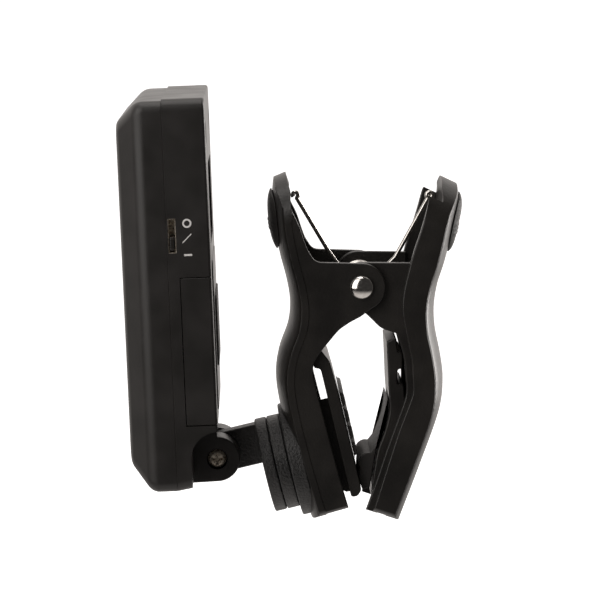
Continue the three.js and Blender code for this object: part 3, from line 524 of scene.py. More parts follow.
CASE = moulded("case_plastic_grain", (0.017, 0.016, 0.015), (0.024, 0.022, 0.021), 0.36, 0.28, 0.007)
CLIP_PLASTIC = moulded("clip_plastic_satin", (0.014, 0.013, 0.012), (0.021, 0.019, 0.017), 0.34, 0.4, 0.03)
SPARK = moulded("clip_plastic_sparked", (0.022, 0.022, 0.022), (0.042, 0.041, 0.04), 0.38, 0.34, 0.16)
SMOOTH = moulded("switch_plastic_smooth", (0.02, 0.018, 0.016), (0.03, 0.028, 0.025), 0.25, 0.3, 0.006)
RUBBER = rubber_finish()
GLOSS = gloss_finish("dark_gloss", (0.005, 0.005, 0.006), (0.009, 0.009, 0.01), 0.08)
NICKEL = metal_finish(
    "polished_nickel_plate", (0.72, 0.69, 0.66), (0.84, 0.82, 0.79),
    low=0.07, high=0.2, grain=0.4, height=0.004,
)
SCREW = metal_finish(
    "plated_screw_steel", (0.42, 0.35, 0.26), (0.78, 0.72, 0.62),
    low=0.2, high=0.4, grain=0.3, height=0.012, metallic=0.6,
)
WIRE = metal_finish(
    "drawn_wire", (0.5, 0.47, 0.43), (0.82, 0.8, 0.77),
    low=0.1, high=0.26, grain=0.5, height=0.004, stretch=(3, 3, 0.4),
)
CELL = metal_finish(
    "brushed_cell", (0.58, 0.58, 0.57), (0.74, 0.74, 0.73),
    low=0.2, high=0.36, grain=0.3, height=0.006, stretch=(1, 6, 0.3),
)
BRASS = metal_finish(
    "stamped_brass", (0.6, 0.43, 0.2), (0.78, 0.6, 0.32),
    low=0.2, high=0.36, grain=0.5, height=0.006,
)
SCREEN = screen_finish()
SMOKED = smoked_finish()
BOARD = board_finish()
PRINT = print_finish()


# ---- clip arms ----

# x of the arms' outer and inner edges, as (z, x) knots on the pivot
fixed_edge = through([
    (18, -11.6), (14, -12.05), (9, -11.75), (4.3, -10.75), (0, -9.55), (-3.5, -8.95), (-7, -9.2),
    (-11, -10.5), (-15, -10.95), (-20, -10.15), (-29, -7.7), (-39, -4.5),
])
moving_edge = through([
    (18, 12.2), (14, 13.15), (9, 12.5), (3.6, 11.35), (0, 10.3), (-3.5, 9.85), (-7, 10.1),
    (-11, 11.0), (-15, 11.55), (-20, 11.1), (-28.3, 8.45), (-39, 4.7),
])
fixed_inner = through([
    (18, -11.9), (13.7, -11.6), (11.5, -10.9), (9.3, -9.8), (4.8, -8.05), (0, -5), (-6.65, -3.3),
    (-9.4, -5.5), (-11.7, -7.0), (-13.5, -7.15), (-15.3, -6.8), (-17.6, -6.2), (-23.3, -4.6),
    (-30.9, -2.4), (-39, 0.2),
])
moving_inner = through([
    (18, 10.8), (15, 10.4), (13.5, 10.0), (11.3, 9.5), (8.5, 8.75), (5.4, 7.8), (2.5, 7.1),
    (-0.8, 6.45), (-4, 6.4), (-9.3, 7.5), (-11.5, 7.95), (-14, 8.15), (-16.1, 8.3), (-17.5, 7.95),
    (-19.4, 7.3), (-22.9, 6.1), (-29.3, 4.25), (-39, 1.5),
])
# x of the inner edge of the moving jaw's ears, below the pivot
moving_lip = through([
    (-7.3, 5.6), (-9.9, 6.5), (-11.8, 6.95), (-13.8, 7.15), (-16.2, 7.35), (-17.7, 7.15), (-20, 6.4),
    (-25.4, 4.6), (-31.3, 2.8), (-39, 0.3),
])


def crown(edge, side, y, z):
    """x of an arm's crowned back."""
    return edge(z) + side * ARM_CROWN * (1 - abs(y / ARM_HALF_WIDTH) ** CROWN_POWER)


def back_shell(edge, side, thickness, half_width):
    """The crowned back, with a rolled edge along each side."""
    rings = []
    for z in steps(DRAWN_LOW, DRAWN_HIGH, 76):
        outer = []
        for y in steps(-half_width, half_width, 32):
            outer.append(Vector((crown(edge, side, y, z), y, z)))
        flat = side * edge(z) - BACK_THICKNESS
        inner = [Vector((side * max(side * p.x - thickness, flat), p.y, p.z)) for p in outer[::-1]]
        roll = thickness * 0.22
        for point in (outer[0], outer[-1]):
            point.x -= side * roll
        rings.append(outer + inner)
    return loft(rings)


def leaning_tip(side, end, level):
    """The place and lean of an arm's end."""
    turn = Matrix.Rotation(math.radians(side * end["lean"]), 4, "Y")
    return Matrix.Translation((side * end["x"], 0, level)) @ turn


def end_trim(side, end, level, upwards):
    """A long prism, leaning with the arm, that keeps what lies inside its rounded end."""
    length = upwards * end["length"]
    outline = [(ARM_HALF_WIDTH, -80 * upwards)]
    for angle in steps(0, math.pi, 40):
        outline.append((ARM_HALF_WIDTH * math.cos(angle), -length + length * math.sin(angle)))
    outline.append((-ARM_HALF_WIDTH, -80 * upwards))
    shape = plate(outline, -40, 40, facing, 0, 0, 1)
    bmesh.ops.transform(shape, matrix=leaning_tip(side, end, level), verts=shape.verts)
    return shape


def heel_trim(side):
    """Keeps what lies above a jaw's end, its outer corner rounded in the side view."""
    corner = [(1.0, 0), (1.9, 0.15), (2.5, 0.75), (2.8, 2.2)]
    outline = soften([(-20, 0), *corner, (40, 30), (40, 90), (-20, 90)], 0.6, 4)
    shape = plate([(side * x, z) for x, z in outline], -20, 20, low_edge=0, high_edge=0, count=1)
    bmesh.ops.transform(shape, matrix=leaning_tip(side, JAW_END, ARM_BOTTOM), verts=shape.verts)
    return shape


def trims(side):
    handle = end_trim(side, HANDLE_END, ARM_TOP, 1)
    jaw = end_trim(side, JAW_END, ARM_BOTTOM, -1)
    return handle, jaw, heel_trim(side)


def fixed_wall():
    """Side wall of the fixed arm: its edge, the jaw, the step up to the ear, the ear and the handle."""
    points = [(fixed_edge(z) - 0.15, z) for z in steps(DRAWN_HIGH, DRAWN_LOW, 76)]
    points += [(fixed_inner(z), z) for z in steps(DRAWN_LOW, -9.4, 36)]
    step_up = [(-5.3, -9.1), (-3.3, -6.65), (-1.7, -5.5), (0.1, -4.5), (1.4, -3.4)]
    points += soften(step_up, 0.6, 4, False)[1:-1]
    points += arc(0, 0, EAR_RADIUS, -62, 86, 24)
    points += soften([(-4.0, 3.68), (-7.2, 3.72), (-8.3, 5.4)], 3.0, 8, False)[1:-1]
    points += [(max(fixed_inner(z), fixed_edge(z) + 0.4), z) for z in steps(5.6, DRAWN_HIGH, 20)]
    return points


def moving_ear():
    """Ear of the moving arm, with the lip that runs down inside its jaw."""
    points = [(7.6, 3.7)] + arc(0, 0, EAR_RADIUS, 90, 270, 30)
    points += soften([(0, -EAR_RADIUS), (1.6, -5.0), (3.1, -6.5), (5.4, -7.3)], 0.8, 4, False)[1:-1]
    points += [(moving_lip(z), z) for z in steps(-7.3, DRAWN_LOW, 36)]
    points += [(moving_inner(z) + 0.8, z) for z in steps(DRAWN_LOW, -9.3, 36)]
    return points + [(7.6, -3.4)]


def band(outer, inner):
    """An outline between two curves of z, along a whole arm."""
    levels = steps(DRAWN_HIGH, DRAWN_LOW, 76)
    return [(outer(z), z) for z in levels] + [(inner(z), z) for z in levels[::-1]]


def rib(edge, side, z, depth, half_width):
    """A rib across the channel of an arm."""
    back, front = edge(z) + side * 0.1, edge(z) - side * depth
    return block(min(back, front), max(back, front), -half_width, half_width, z - 0.7, z + 0.7)


def in_clip(shape):
    """A shape of the swivel's frame, moved to the clip's."""
    bmesh.ops.transform(shape, matrix=CLIP.inverted() @ SWIVEL, verts=shape.verts)
    return shape


def fixed_jaw():
    """The fixed arm: crowned back, side walls with a raised rim, ribs, and the swivel screw's seat."""
    walls = both(fixed_wall(), 7.9, ARM_HALF_WIDTH - RIM_HEIGHT, 0.2)
    edge = band(lambda z: fixed_edge(z) + RIM_WIDTH, lambda z: fixed_edge(z) - 0.2)
    rims = both(edge, 8.2, ARM_HALF_WIDTH, 0.1)
    ribs = [rib(fixed_edge, -1, z, 3.0, 8.0) for z in FIXED_RIBS]
    seat = in_clip(rod(4.3, BOSS[0] + 0.5, SCREW_SEAT, height=-SWIVEL_DROP))
    arm = combine(back_shell(fixed_edge, -1, 1.75, 8.7), "UNION", *walls, *rims, *ribs, seat)
    arm = combine(arm, "INTERSECT", *trims(-1))
    bore = in_clip(rod(SCREW_BORE, 5, 20, height=-SWIVEL_DROP))
    return combine(arm, "DIFFERENCE", bore, rod(PIN_HOLE, -12, 12, "y"))


def moving_jaw():
    """The moving arm: crowned back, side flanges, and ears that sit inside the fixed arm's walls."""
    outer = band(lambda z: moving_edge(z) + 0.15, lambda z: min(moving_inner(z), moving_edge(z) - 0.2))
    flange = both(outer, 7.5, 8.97, 0.2)
    ears = both(moving_ear(), 6.4, 7.55, 0.2)
    ribs = [rib(moving_edge, 1, z, 2.8, 7.6) for z in MOVING_RIBS]
    arm = combine(back_shell(moving_edge, 1, 2.2, 8.85), "UNION", *flange, *ears, *ribs)
    arm = combine(arm, "INTERSECT", *trims(1))
    return combine(arm, "DIFFERENCE", rod(PIN_HOLE, -12, 12, "y"))


def finger_pad(edge, side):
    """A rubber pad with three low ridges, let into the outside of a handle."""
    middle, reach = 9.45, 4.55
    rings = []
    for z in steps(middle - reach, middle + reach, 56):
        along = (z - middle) / reach
        half_width = 5.6 * max(0.06, 1 - abs(along) ** 3) ** 0.5
        ridge = 0.13 * math.cos(math.pi * (z - 8.7) / 0.62) ** 2 if abs(z - 8.7) < 0.93 else 0
        swell = 0.46 * (1 - along**4) + ridge
        skin, outer = [], []
        for y in steps(-half_width, half_width, 20):
            x = crown(edge, side, y, z) + side * 0.1
            shoulder = max(0.0, 1 - abs(y / half_width) ** 6) ** 0.5
            skin.append(Vector((x, y, z)))
            outer.append(Vector((x + side * (0.12 + (0.13 + swell) * shoulder), y, z)))
        rings.append(skin + outer[::-1])
    return loft(rings)


# ---- pads ----

# fixed pad, in the swivel's frame
CARRIER = (18.95, 20.75)
CARRIER_TOP = 13.4
CARRIER_BOTTOM = -10.2
BLOCK_TOP = 4.2
TEETH = 4
TEETH_TOP = 6.0
TOOTH_PITCH = 2.66


def fixed_pad_carrier():
    """A plate with a hooked top, and a narrower block behind it whose top slopes to the far side."""
    inner, face = CARRIER
    front = soften([
        (inner, CARRIER_TOP - 3), (inner - 1.0, CARRIER_TOP - 2.6), (inner - 0.6, CARRIER_TOP - 0.6),
        (inner + 0.7, CARRIER_TOP), (face - 0.15, CARRIER_TOP - 2.2), (face, 8),
        (face, CARRIER_BOTTOM + 0.5), (face - 0.8, CARRIER_BOTTOM - 0.3), (inner, CARRIER_BOTTOM - 0.2),
    ], 0.4)
    rings = []
    for y, top in ((-5, BLOCK_TOP + 1.1), (5, BLOCK_TOP - 0.9)):
        outline = [
            (inner + 0.9, CARRIER_BOTTOM + 0.13), (inner - 0.6, CARRIER_BOTTOM + 0.25),
            (inner - 1.5, CARRIER_BOTTOM + 1), (inner - 2.3, top), (inner + 0.9, top),
        ]
        rings.append([across(x, z, y) for x, z in outline])
    shape = combine(plate(front, -7.5, 7.5, low_edge=0.15, high_edge=0.15), "UNION", loft(rings))
    return combine(shape, "DIFFERENCE", rod(3.0, 10, inner - 0.1, height=-SWIVEL_DROP))


def toothed_pad():
    """A strip of teeth, each rounded above and undercut below."""
    root, top = CARRIER[1] + 0.12, TEETH_TOP
    points = [(root, top - TEETH * TOOTH_PITCH - 0.3), (root, top + 0.25), (root + 0.1, top + 0.25)]
    for tooth in range(TEETH):
        crest = top - tooth * TOOTH_PITCH
        points += arc(root + 0.12, crest - 0.5, 0.5, 84.27, 4.06, 7)
        points += [(root + 0.6, crest - 1.7), (root + 0.5, crest - 2.05), (root + 0.1, crest - 2.3)]
    return plate(points, -6.8, 6.8, low_edge=0.05, high_edge=0.05)


# x of the face of the moving pad's carrier, as (z, x) knots on the pivot
moving_face = through([
    (-8.6, 4.1), (-12, 4.35), (-16, 4.6), (-19.6, 4.85), (-22.8, 4.25), (-24.75, 3.6), (-27, 3.0),
    (-34, 2.1),
])


def moving_pad_carrier():
    """The carrier of the round-nosed pad, with a notch in its back."""
    outline = [(moving_face(z) + 0.05, z) for z in steps(-8.8, -31.5, 30)]
    outline += soften([
        (moving_face(-31.5), -31.5), (2.3, -33.4), (3.1, -33.4), (5.7, -26.5), (7.6, -20.2), (7.0, -15.6),
        (6.0, -15.5), (6.0, -13.2), (6.8, -13.0), (6.7, -10.6), (5.9, -10.4), (5.7, -8.2), (4.3, -8.5),
    ], 0.4, 4, False)[1:-1]
    return plate(outline, -6, 6, low_edge=0.25, high_edge=0.25)


def nose_pad():
    """The rubber skin, the round nose that meets the teeth, and the flat block below it."""
    top = -17.9
    outline = [(moving_face(z) - 0.2, z) for z in steps(top, -32, 24)]
    outline += [(1.0, -32.4), (0.5, -31.2), (0.38, -30.4), (0.4, -29.4)]
    outline += arc(1.8, -28.1, 1.58, 214, 78, 24)
    outline += [(moving_face(z) - 0.34, z) for z in steps(-25.4, top - 0.3, 10)]
    return plate(outline, -5.6, 5.6, low_edge=0.18, high_edge=0.18)


# ---- pivot and spring ----


def rivet():
    """A pin with a domed head on each side."""
    shoulder = ARM_HALF_WIDTH + 0.05
    dome = []
    for angle in steps(0, math.pi / 2, 16):
        dome.append((RIVET_RADIUS * math.cos(angle), shoulder + 0.1 + RIVET_HEIGHT * math.sin(angle)))
    dome[-1] = (0, dome[-1][1])
    rim = [(1.0, shoulder), (RIVET_RADIUS - 0.08, shoulder)]
    half = rim + dome
    return lathe([(r, -d) for r, d in half[::-1]] + half, "y", segments=64)


SPRING_RADIUS = 2.62
WIRE_RADIUS = 0.34
SPRING_HALF_WIDTH = 2.2
SPRING_TURNS = 4
HOOK_RADIUS = 0.42
LEG_ANGLE = 0.35
LEFT_HOOK = (-10.65, 12.9)
RIGHT_HOOK = (10.9, 13.7)


def spring_points():
    """Centre line of the torsion spring: hook, leg, coil round the sleeve, leg, hook."""
    def hook(tip, y, side):
        """A round hook, its outermost point at tip, from its end to the leg."""
        x, z = tip
        turn = arc(HOOK_RADIUS, z, HOOK_RADIUS, -65, 220, 18)[::-1]
        return [(x + side * reach, y, height) for reach, height in turn]

    start = math.pi - LEG_ANGLE
    end = start + (SPRING_TURNS - 1) * 2 * math.pi + math.pi + 2 * LEG_ANGLE
    coil = [
        (SPRING_RADIUS * math.cos(a), SPRING_HALF_WIDTH * (1 - 2 * i / 96), SPRING_RADIUS * math.sin(a))
        for i, a in enumerate(steps(start, end, 96))
    ]
    left = hook(LEFT_HOOK, SPRING_HALF_WIDTH, 1)
    right = hook(RIGHT_HOOK, -SPRING_HALF_WIDTH, -1)
    return [*left, (-4.9, SPRING_HALF_WIDTH, 4.2), *coil, (5.4, -SPRING_HALF_WIDTH, 3.9), *right[::-1]]


def tube(points, radius, sides=12):
    """A round tube along a smooth line of points, with closed ends."""
    line = [Vector(p) for p in points]
    normal = Vector((0, 1, 0))
    rings = []
    for i, centre in enumerate(line):
        along = (line[min(i + 1, len(line) - 1)] - line[max(i - 1, 0)]).normalized()
        normal = (normal - along * normal.dot(along)).normalized()
        other = along.cross(normal)
        ring = []
        for k in range(sides):
            angle = 2 * math.pi * k / sides
            ring.append(centre + radius * (math.cos(angle) * normal + math.sin(angle) * other))
        rings.append(ring)
    return loft(rings)


# ---- swivel ----


def disc(low, high, radius, bore=0.0, edge=0.3):
    """A disc on the swivel's axis, with a bore or solid."""
    if bore:
        profile = soften([(bore, low), (radius, low), (radius, high), (bore, high)], edge, 4)
    else:
        profile = soften([(0, low), (radius, low), (radius, high), (0, high)], edge, 4, False)
    return lathe(profile, height=-SWIVEL_DROP, segments=96)


def swivel_arm():
    """The arm's disc, and the round-ended tongue that the hinge screw goes through."""
    tongue = [(ARM_DISC[0] + 0.5, -TONGUE_HALF_HEIGHT), (ARM_DISC[0] + 0.5, TONGUE_HALF_HEIGHT)]
    tongue += arc(0, 0, TONGUE_HALF_HEIGHT, 90, 270, 24)
    body = plate(tongue, -TONGUE_HALF_WIDTH, TONGUE_HALF_WIDTH, low_edge=0.3, high_edge=0.3)
    arm = combine(body, "UNION", disc(*ARM_DISC, DISC_RADIUS))
    bore = rod(SCREW_BORE, 7.2, 12, height=-SWIVEL_DROP)
    return combine(arm, "DIFFERENCE", rod(HINGE_BORE, -6, 6, "y"), bore)


# ---- head ----


def head_rings(stations):
    """Rings of the head's outline: (x, insets at the top, bottom and sides, corner radius) each."""
    rings = []
    for x, top, bottom, side, radius in stations:
        outline = rectangle(HEAD_HALF_WIDTH - side, HEAD_BOTTOM + bottom, HEAD_TOP - top, radius)
        rings.append([facing(u, v, x) for u, v in outline])
    return rings


def front_shell():
    """The cover with its sloped bezel, hollow, with openings for the window and the button."""
    profile = soften([
        (PARTING - 0.01, 0.03), (PARTING - 0.05, 0.0), (CHAMFER_START, 0.0), (HEAD_FRONT, 3.3),
        (HEAD_FRONT, 5.0),
    ], 1.1, 8, False)
    stations = []
    for x, depth in profile:
        share = depth / 3.3
        stations.append((x, 0.25 + 3.25 * share, -0.4 + 4.0 * share, 0.12 + 3.38 * share, 1.7))
    outer = loft(head_rings(stations))
    hollow = loft(head_rings([
        (PARTING + 1, 1.75, WALL, 1.62, 1.2),
        (CHAMFER_START, 1.75, WALL, 1.62, 1.2),
        (HEAD_FRONT + WALL, 4.4, 4.5, 4.4, 1.2),
    ]))
    half, low, high = WINDOW
    seat = rectangle(half + 0.15, low - 0.15, high + 0.15, 1.2)
    recess = plate(seat, HEAD_FRONT - 1, HEAD_FRONT + 0.85, facing, 0, 0, 1)
    opening = plate(rectangle(half - 1, low + 1, high - 1, 0.8), HEAD_FRONT - 1, -9, facing, 0, 0, 1)
    button = rod(BUTTON_RADIUS + 0.18, -14, -10, height=BUTTON_HEIGHT)
    posts = [rod(POST_RADIUS, -11.6, -6.6, height=z, aside=y) for y, z in CASE_SCREWS]
    pilots = [rod(PILOT_RADIUS, -10.4, -5, height=z, aside=y) for y, z in CASE_SCREWS]
    shell = combine(outer, "DIFFERENCE", hollow)
    shell = combine(shell, "UNION", *posts)
    return combine(shell, "DIFFERENCE", recess, opening, button, *pilots)


def notch():
    """Outline of the hollow that the lug stands in, across the foot of the back."""
    start = [(3, 6.75), (HEAD_BACK, 6.75)]
    bend = arc(HEAD_BACK, 2.6, NOTCH_RADIUS, 90, 180, 16)[1:]
    return start + bend + [(NOTCH_DEPTH - 0.05, -6), (3, -6)]


def lug():
    """Outline of the hinge lug, round about the hinge."""
    bend = arc(0, 0, LUG_RADIUS, -90, 88, 28)
    return [(-4.6, -LUG_RADIUS - 0.1)] + bend + [(-0.3, 8), (-5.4, 8), (-5.6, -1.5)]


def rear_shell():
    """The rear case: walls, drawer bay, screw posts, raised panel, label recess and hinge lug."""
    corner = 0.4
    stations = [
        (PARTING + 0.01, 0.03, -0.35, 0.03, 1.77),
        (PARTING + 0.05, 0, -0.38, 0, 1.8),
        (NOTCH_DEPTH, 0, 0, 0, 1.8),
    ]
    for angle in steps(0, math.pi / 2, 8):
        depth = corner * (1 - math.cos(angle))
        stations.append((HEAD_BACK - corner + corner * math.sin(angle), depth, depth, depth, 1.8))
    outer = loft(head_rings(stations))
    main = plate(rectangle(HEAD_HALF_WIDTH - WALL, 8.2, HEAD_TOP - WALL, 1.2), -8, -0.7, facing, 0, 0, 1)
    lower = plate(rectangle(HEAD_HALF_WIDTH - WALL, HEAD_BOTTOM + WALL, 9, 1.2), -8, -4.9, facing, 0, 0, 1)
    shell = combine(outer, "DIFFERENCE", main, lower)
    walls = [
        block(-4.9, 0, -17, 6.9, DOOR["top"] + 0.2, DOOR["top"] + 1.3),
        block(-4.9, 0, 5.9, 6.9, 8, DOOR["top"] + 1.3),
    ]
    posts = [rod(POST_RADIUS, -5.75, 0, height=z, aside=y) for y, z in CASE_SCREWS]
    shell = combine(shell, "UNION", *walls, *posts)
    shell = combine(shell, "DIFFERENCE", plate(notch(), -20, 20, low_edge=0, high_edge=0, count=1))
    panel = plate(rectangle(*PANEL, 2, 8), 0.2, PANEL_FACE, facing, 0, 0.15, 4)
    ears = plate(lug(), -LUG_HALF_WIDTH, LUG_HALF_WIDTH, low_edge=0.25, high_edge=0.25)
    shell = combine(shell, "UNION", panel, ears)
    recesses = []
    sunk = ((STRIP, 1.8, PANEL_FACE - 0.3), (LABEL, 1.2, HEAD_BACK - 0.8))
    for (half, low, high), radius, depth in sunk:
        outline = rectangle(half + 0.12, low - 0.12, high + 0.12, radius)
        recesses.append(plate(outline, depth, 3, facing, 0, 0, 1))
    side = HEAD_HALF_WIDTH
    cuts = [
        block(-4.05, 8, -1.75, 1.75, -8, 7),
        rod(HINGE_BORE, -8, 8, "y"),
        rod(1.62, -8, -4.3, "y"),
        lathe([(0, 4.2), (2.35, 4.2), (2.35, 8), (0, 8)], "y", segments=6),
        block(DOOR["front"] - 0.12, 3, -20, -side + 1.8, DOOR["bottom"] - 0.12, DOOR["top"] + 0.12),
        block(DOOR["front"] - 0.3, -0.2, 1.5 - side, 5.9, DOOR["bottom"] - 0.1, DOOR["top"] + 0.1),
        block(SLOT["front"], SLOT["back"], -20, -16, SLOT["bottom"], SLOT["top"]),
        *recesses,
    ]
    for y, z in CASE_SCREWS:
        cuts.append(rod(PILOT_RADIUS, -8, 3, height=z, aside=y))
        cuts.append(rod(SCREW_POCKET, -0.8, 3, height=z, aside=y))
    return combine(shell, "DIFFERENCE", *cuts)


def drawer():
    """Door and tray of the coin cell."""
    side, low, high = HEAD_HALF_WIDTH, DOOR["bottom"], DOOR["top"]
    corner = arc(HEAD_BACK - 0.4, -side + 0.4, 0.4, -90, 0, 8)
    section = [(DOOR["front"], -side + 1.5), (DOOR["front"], -side)] + corner + [(HEAD_BACK, -side + 1.5)]
    rings = []
    for level, amount in ((low, 0.08), (low + 0.08, 0), (high - 0.08, 0), (high, 0.08)):
        rings.append([Vector((x, y, level)) for x, y in inset(section, amount)])
    tray = block(DOOR["front"] + 0.1, -0.5, -17.2, 5.6, low + 0.1, high - 0.1)
    middle = (low + high) / 2
    body = combine(loft(rings), "UNION", tray)
    pocket = rod(COIN["radius"] + 0.3, -8, -0.8, height=middle, aside=COIN["aside"], segments=72)
    view = rod(COIN["radius"] - 2, -8, 3, height=middle, aside=COIN["aside"], segments=72)
    return combine(body, "DIFFERENCE", pocket, view)


def coin_cell():
    """The cell, with its smaller face to the front."""
    radius, back = COIN["radius"], COIN["back"]
    front = back - COIN["thickness"]
    profile = soften([
        (0, front), (radius - 1.2, front), (radius - 1.2, front + 0.5), (radius, front + 0.6), (radius, back),
        (0, back),
    ], 0.25, 4, False)
    middle = (DOOR["bottom"] + DOOR["top"]) / 2
    return lathe(profile, height=middle, aside=COIN["aside"], segments=96)


def switch_frame():
    """Metal lining of the switch slot."""

    def lining(gap, y0, y1):
        front, back = SLOT["front"] + gap, SLOT["back"] - gap
        return block(front, back, y0, y1, SLOT["bottom"] + gap, SLOT["top"] - gap)

    return combine(lining(0.02, -17.85, -13.2), "DIFFERENCE", lining(0.12, -20, -14.9))


def switch_knob():
    """The slider, with grooves across its face."""
    front, back = SLOT["front"] + 0.25, SLOT["back"] - 0.25
    low = SLOT["bottom"] + 0.45
    outline = [(front, low), (back, low), (back, low + 2), (front, low + 2)]
    cap = plate(soften(outline, 0.15), -18.05, -15.2, low_edge=0.12, high_edge=0.12)
    grooves = [block(-6, -4, -19, -17.9, z, z + 0.16) for z in steps(low + 0.45, low + 1.4, 3)]
    return combine(cap, "DIFFERENCE", *grooves)


def mode_button():
    """A round key with a flange inside the cover."""
    profile = soften([
        (0, -9.4), (BUTTON_RADIUS + 0.9, -9.4), (BUTTON_RADIUS + 0.9, -10.0), (BUTTON_RADIUS, -10.0),
        (BUTTON_RADIUS, -12.4), (BUTTON_RADIUS - 0.7, -12.62), (0, -12.62),
    ], 0.25, 4, False)
    return lathe(profile, height=BUTTON_HEIGHT)


def grip_strip():
    """A plain rubber strip, let into the raised panel."""
    half, low, high = STRIP
    outline = rectangle(half, low, high, 1.5, 8)
    return plate(outline, PANEL_FACE - 0.2, PANEL_FACE + 0.29, facing, 0, 0.14)


def power_marks():
    """Generic on and off signs beside the switch: a bar, a slash and a ring."""
    centre, low = -2.8, 33.5
    left, right = centre - 0.6, centre + 0.6
    bar = [(left, low + 0.1), (right, low + 0.1), (right, low + 0.4), (left, low + 0.4)]
    foot = centre - 0.75
    slash = [(foot, low + 2.2), (foot, low + 2.0), (right, low + 3.3), (right, low + 3.5)]
    shape = bmesh.new()
    face = -HEAD_HALF_WIDTH

    def add(part):
        mesh = bpy.data.meshes.new("mark")
        part.to_mesh(mesh)
        part.free()
        shape.from_mesh(mesh)
        bpy.data.meshes.remove(mesh)

    for outline in (bar, slash):
        add(plate(outline, face - 0.03, face + 0.03, low_edge=0, high_edge=0, count=1))
    ring = [(0.42, face - 0.03), (0.68, face - 0.03), (0.68, face + 0.03), (0.42, face + 0.03)]
    add(lathe(ring, "y", height=low + 5.0, aside=centre, segments=40))
    return shape


def display_scale():
    """Dark segments of the display: an arc of ticks with a needle, and a row of level bars."""
    shape = bmesh.new()

    def bar(y, z, angle, length, width):
        along = Vector((math.sin(angle), math.cos(angle)))
        aside = Vector((along.y, -along.x)) * width / 2
        start, end = Vector((y, z)), Vector((y, z)) + along * length
        corners = [start - aside, start + aside, end + aside, end - aside]
        depths = (DISPLAY_FACE - 0.04, DISPLAY_FACE)
        rings = [[facing(p.x, p.y, depth) for p in corners] for depth in depths]
        verts = [[shape.verts.new(p) for p in ring] for ring in rings]
        for i in range(4):
            j = (i + 1) % 4
            shape.faces.new((verts[0][i], verts[0][j], verts[1][j], verts[1][i]))
        shape.faces.new(verts[0][::-1])
        shape.faces.new(verts[1])

    for i, angle in enumerate(steps(-50, 50, 10)):
        turn = math.radians(angle)
        length = 2.4 if i % 5 == 0 else 1.2
        bar(13.0 * math.sin(turn), 30.5 + 13.0 * math.cos(turn), turn, length, 0.5)
    bar(0, 33.0, 0, 9.5, 0.4)
    for y in steps(-7.5, 7.5, 6):
        bar(y, 25.2, 0, 1.2, 1.5)
    return shape


# ---- pieces ----


def dressed(node, material, slot):
    """A small CAD node with its edges rounded."""
    body = frame["nodes"][node]["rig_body"]
    piece(node + "_fine", bevelled(copy_of(node), 0.05), WHOLE, material, body, slot, node)


piece("fixed_jaw_shell", fixed_jaw(), CLIP, CLIP_PLASTIC, "clip_body", "clip_plastic", "fixed_jaw")
piece("moving_jaw_shell", moving_jaw(), CLIP, CLIP_PLASTIC, "moving_jaw", "clip_plastic", "moving_jaw")
piece("fixed_finger_grip", finger_pad(fixed_edge, -1), CLIP,
      RUBBER, "clip_body", "rubber", "fixed_finger_pad")
piece("moving_finger_grip", finger_pad(moving_edge, 1), CLIP,
      RUBBER, "moving_jaw", "rubber", "moving_finger_pad")
piece("fixed_carrier", fixed_pad_carrier(), SWIVEL,
      CLIP_PLASTIC, "clip_body", "clip_plastic", "fixed_pad_carrier")
piece("toothed_rubber", toothed_pad(), SWIVEL,
      RUBBER, "clip_body", "rubber", "fixed_rubber_pad", sharp=50)
piece("moving_carrier", moving_pad_carrier(), CLIP,
      CLIP_PLASTIC, "moving_jaw", "clip_plastic", "moving_pad_carrier")
piece("nose_rubber", nose_pad(), CLIP, RUBBER, "moving_jaw", "rubber", "moving_rubber_pad")
piece("pivot_rivet_dome", rivet(), CLIP, NICKEL, "clip_body", "polished_nickel", "pivot_rivet")
piece("arm_disc", swivel_arm(), SWIVEL, SPARK, "swivel_arm", "clip_plastic", "swivel_arm")
piece("jaw_boss", disc(*BOSS, BOSS_RADIUS, SCREW_BORE, 0.35), SWIVEL, SPARK, "clip_body", None)
piece("middle_disc", disc(*MIDDLE_DISC, DISC_RADIUS, SCREW_BORE, 0.22), SWIVEL,
      SPARK, "clip_body", "clip_plastic", "swivel_disc")
piece("front_shell", front_shell(), HEAD, CASE, "tuner_head", "case_plastic", "front_cover")
piece("rear_shell", rear_shell(), HEAD, CASE, "tuner_head", "case_plastic", "rear_case")
piece("cell_drawer", drawer(), HEAD, CASE, "battery_drawer", "case_plastic", "battery_drawer")
piece("cell", coin_cell(), HEAD, CELL, "battery_drawer", "cell_steel", "coin_cell")
piece("switch_frame", switch_frame(), HEAD, SCREW, "tuner_head", "spring_steel", "switch_body")
piece("switch_slider", switch_knob(), HEAD, SMOOTH, "power_switch", "switch_plastic", "switch_knob")
piece("mode_key", mode_button(), HEAD, RUBBER, "mode_button", "rubber", "mode_button")
piece("grip_strip", grip_strip(), HEAD, RUBBER, "tuner_head", "rubber", "rear_grip_strip")
piece("power_marks", power_marks(), HEAD, PRINT, "tuner_head", None)
piece("display_scale", display_scale(), HEAD, GLOSS, "tuner_head", None)

wire = tube(spring_points(), WIRE_RADIUS)
spring = piece("clip_spring", wire, CLIP, WIRE, None, "spring_steel", "torsion_spring")
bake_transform(spring)

for node, material, slot in (
    ("pivot_sleeve", WIRE, "spring_steel"),
    ("swivel_screw", SCREW, "screw_steel"),
    ("swivel_washer", SCREW, "screw_steel"),
    ("hinge_screw", SCREW, "screw_steel"),
    ("hinge_nut", SCREW, "screw_steel"),
    ("case_screw_1", SCREW, "screw_steel"),
    ("case_screw_2", SCREW, "screw_steel"),
    ("case_screw_3", SCREW, "screw_steel"),
    ("display_window", SMOKED, "window_gloss"),
    ("lcd_panel", SCREEN, "lcd_glass"),
    ("label_plate", GLOSS, "window_gloss"),
    ("circuit_board", BOARD, "board"),
    ("battery_contact_plus", BRASS, "brass"),
    ("battery_contact_minus", BRASS, "brass"),
    ("piezo_disc", BRASS, "brass"),
):
    dressed(node, material, slot)


# ---- stage, light and camera ----


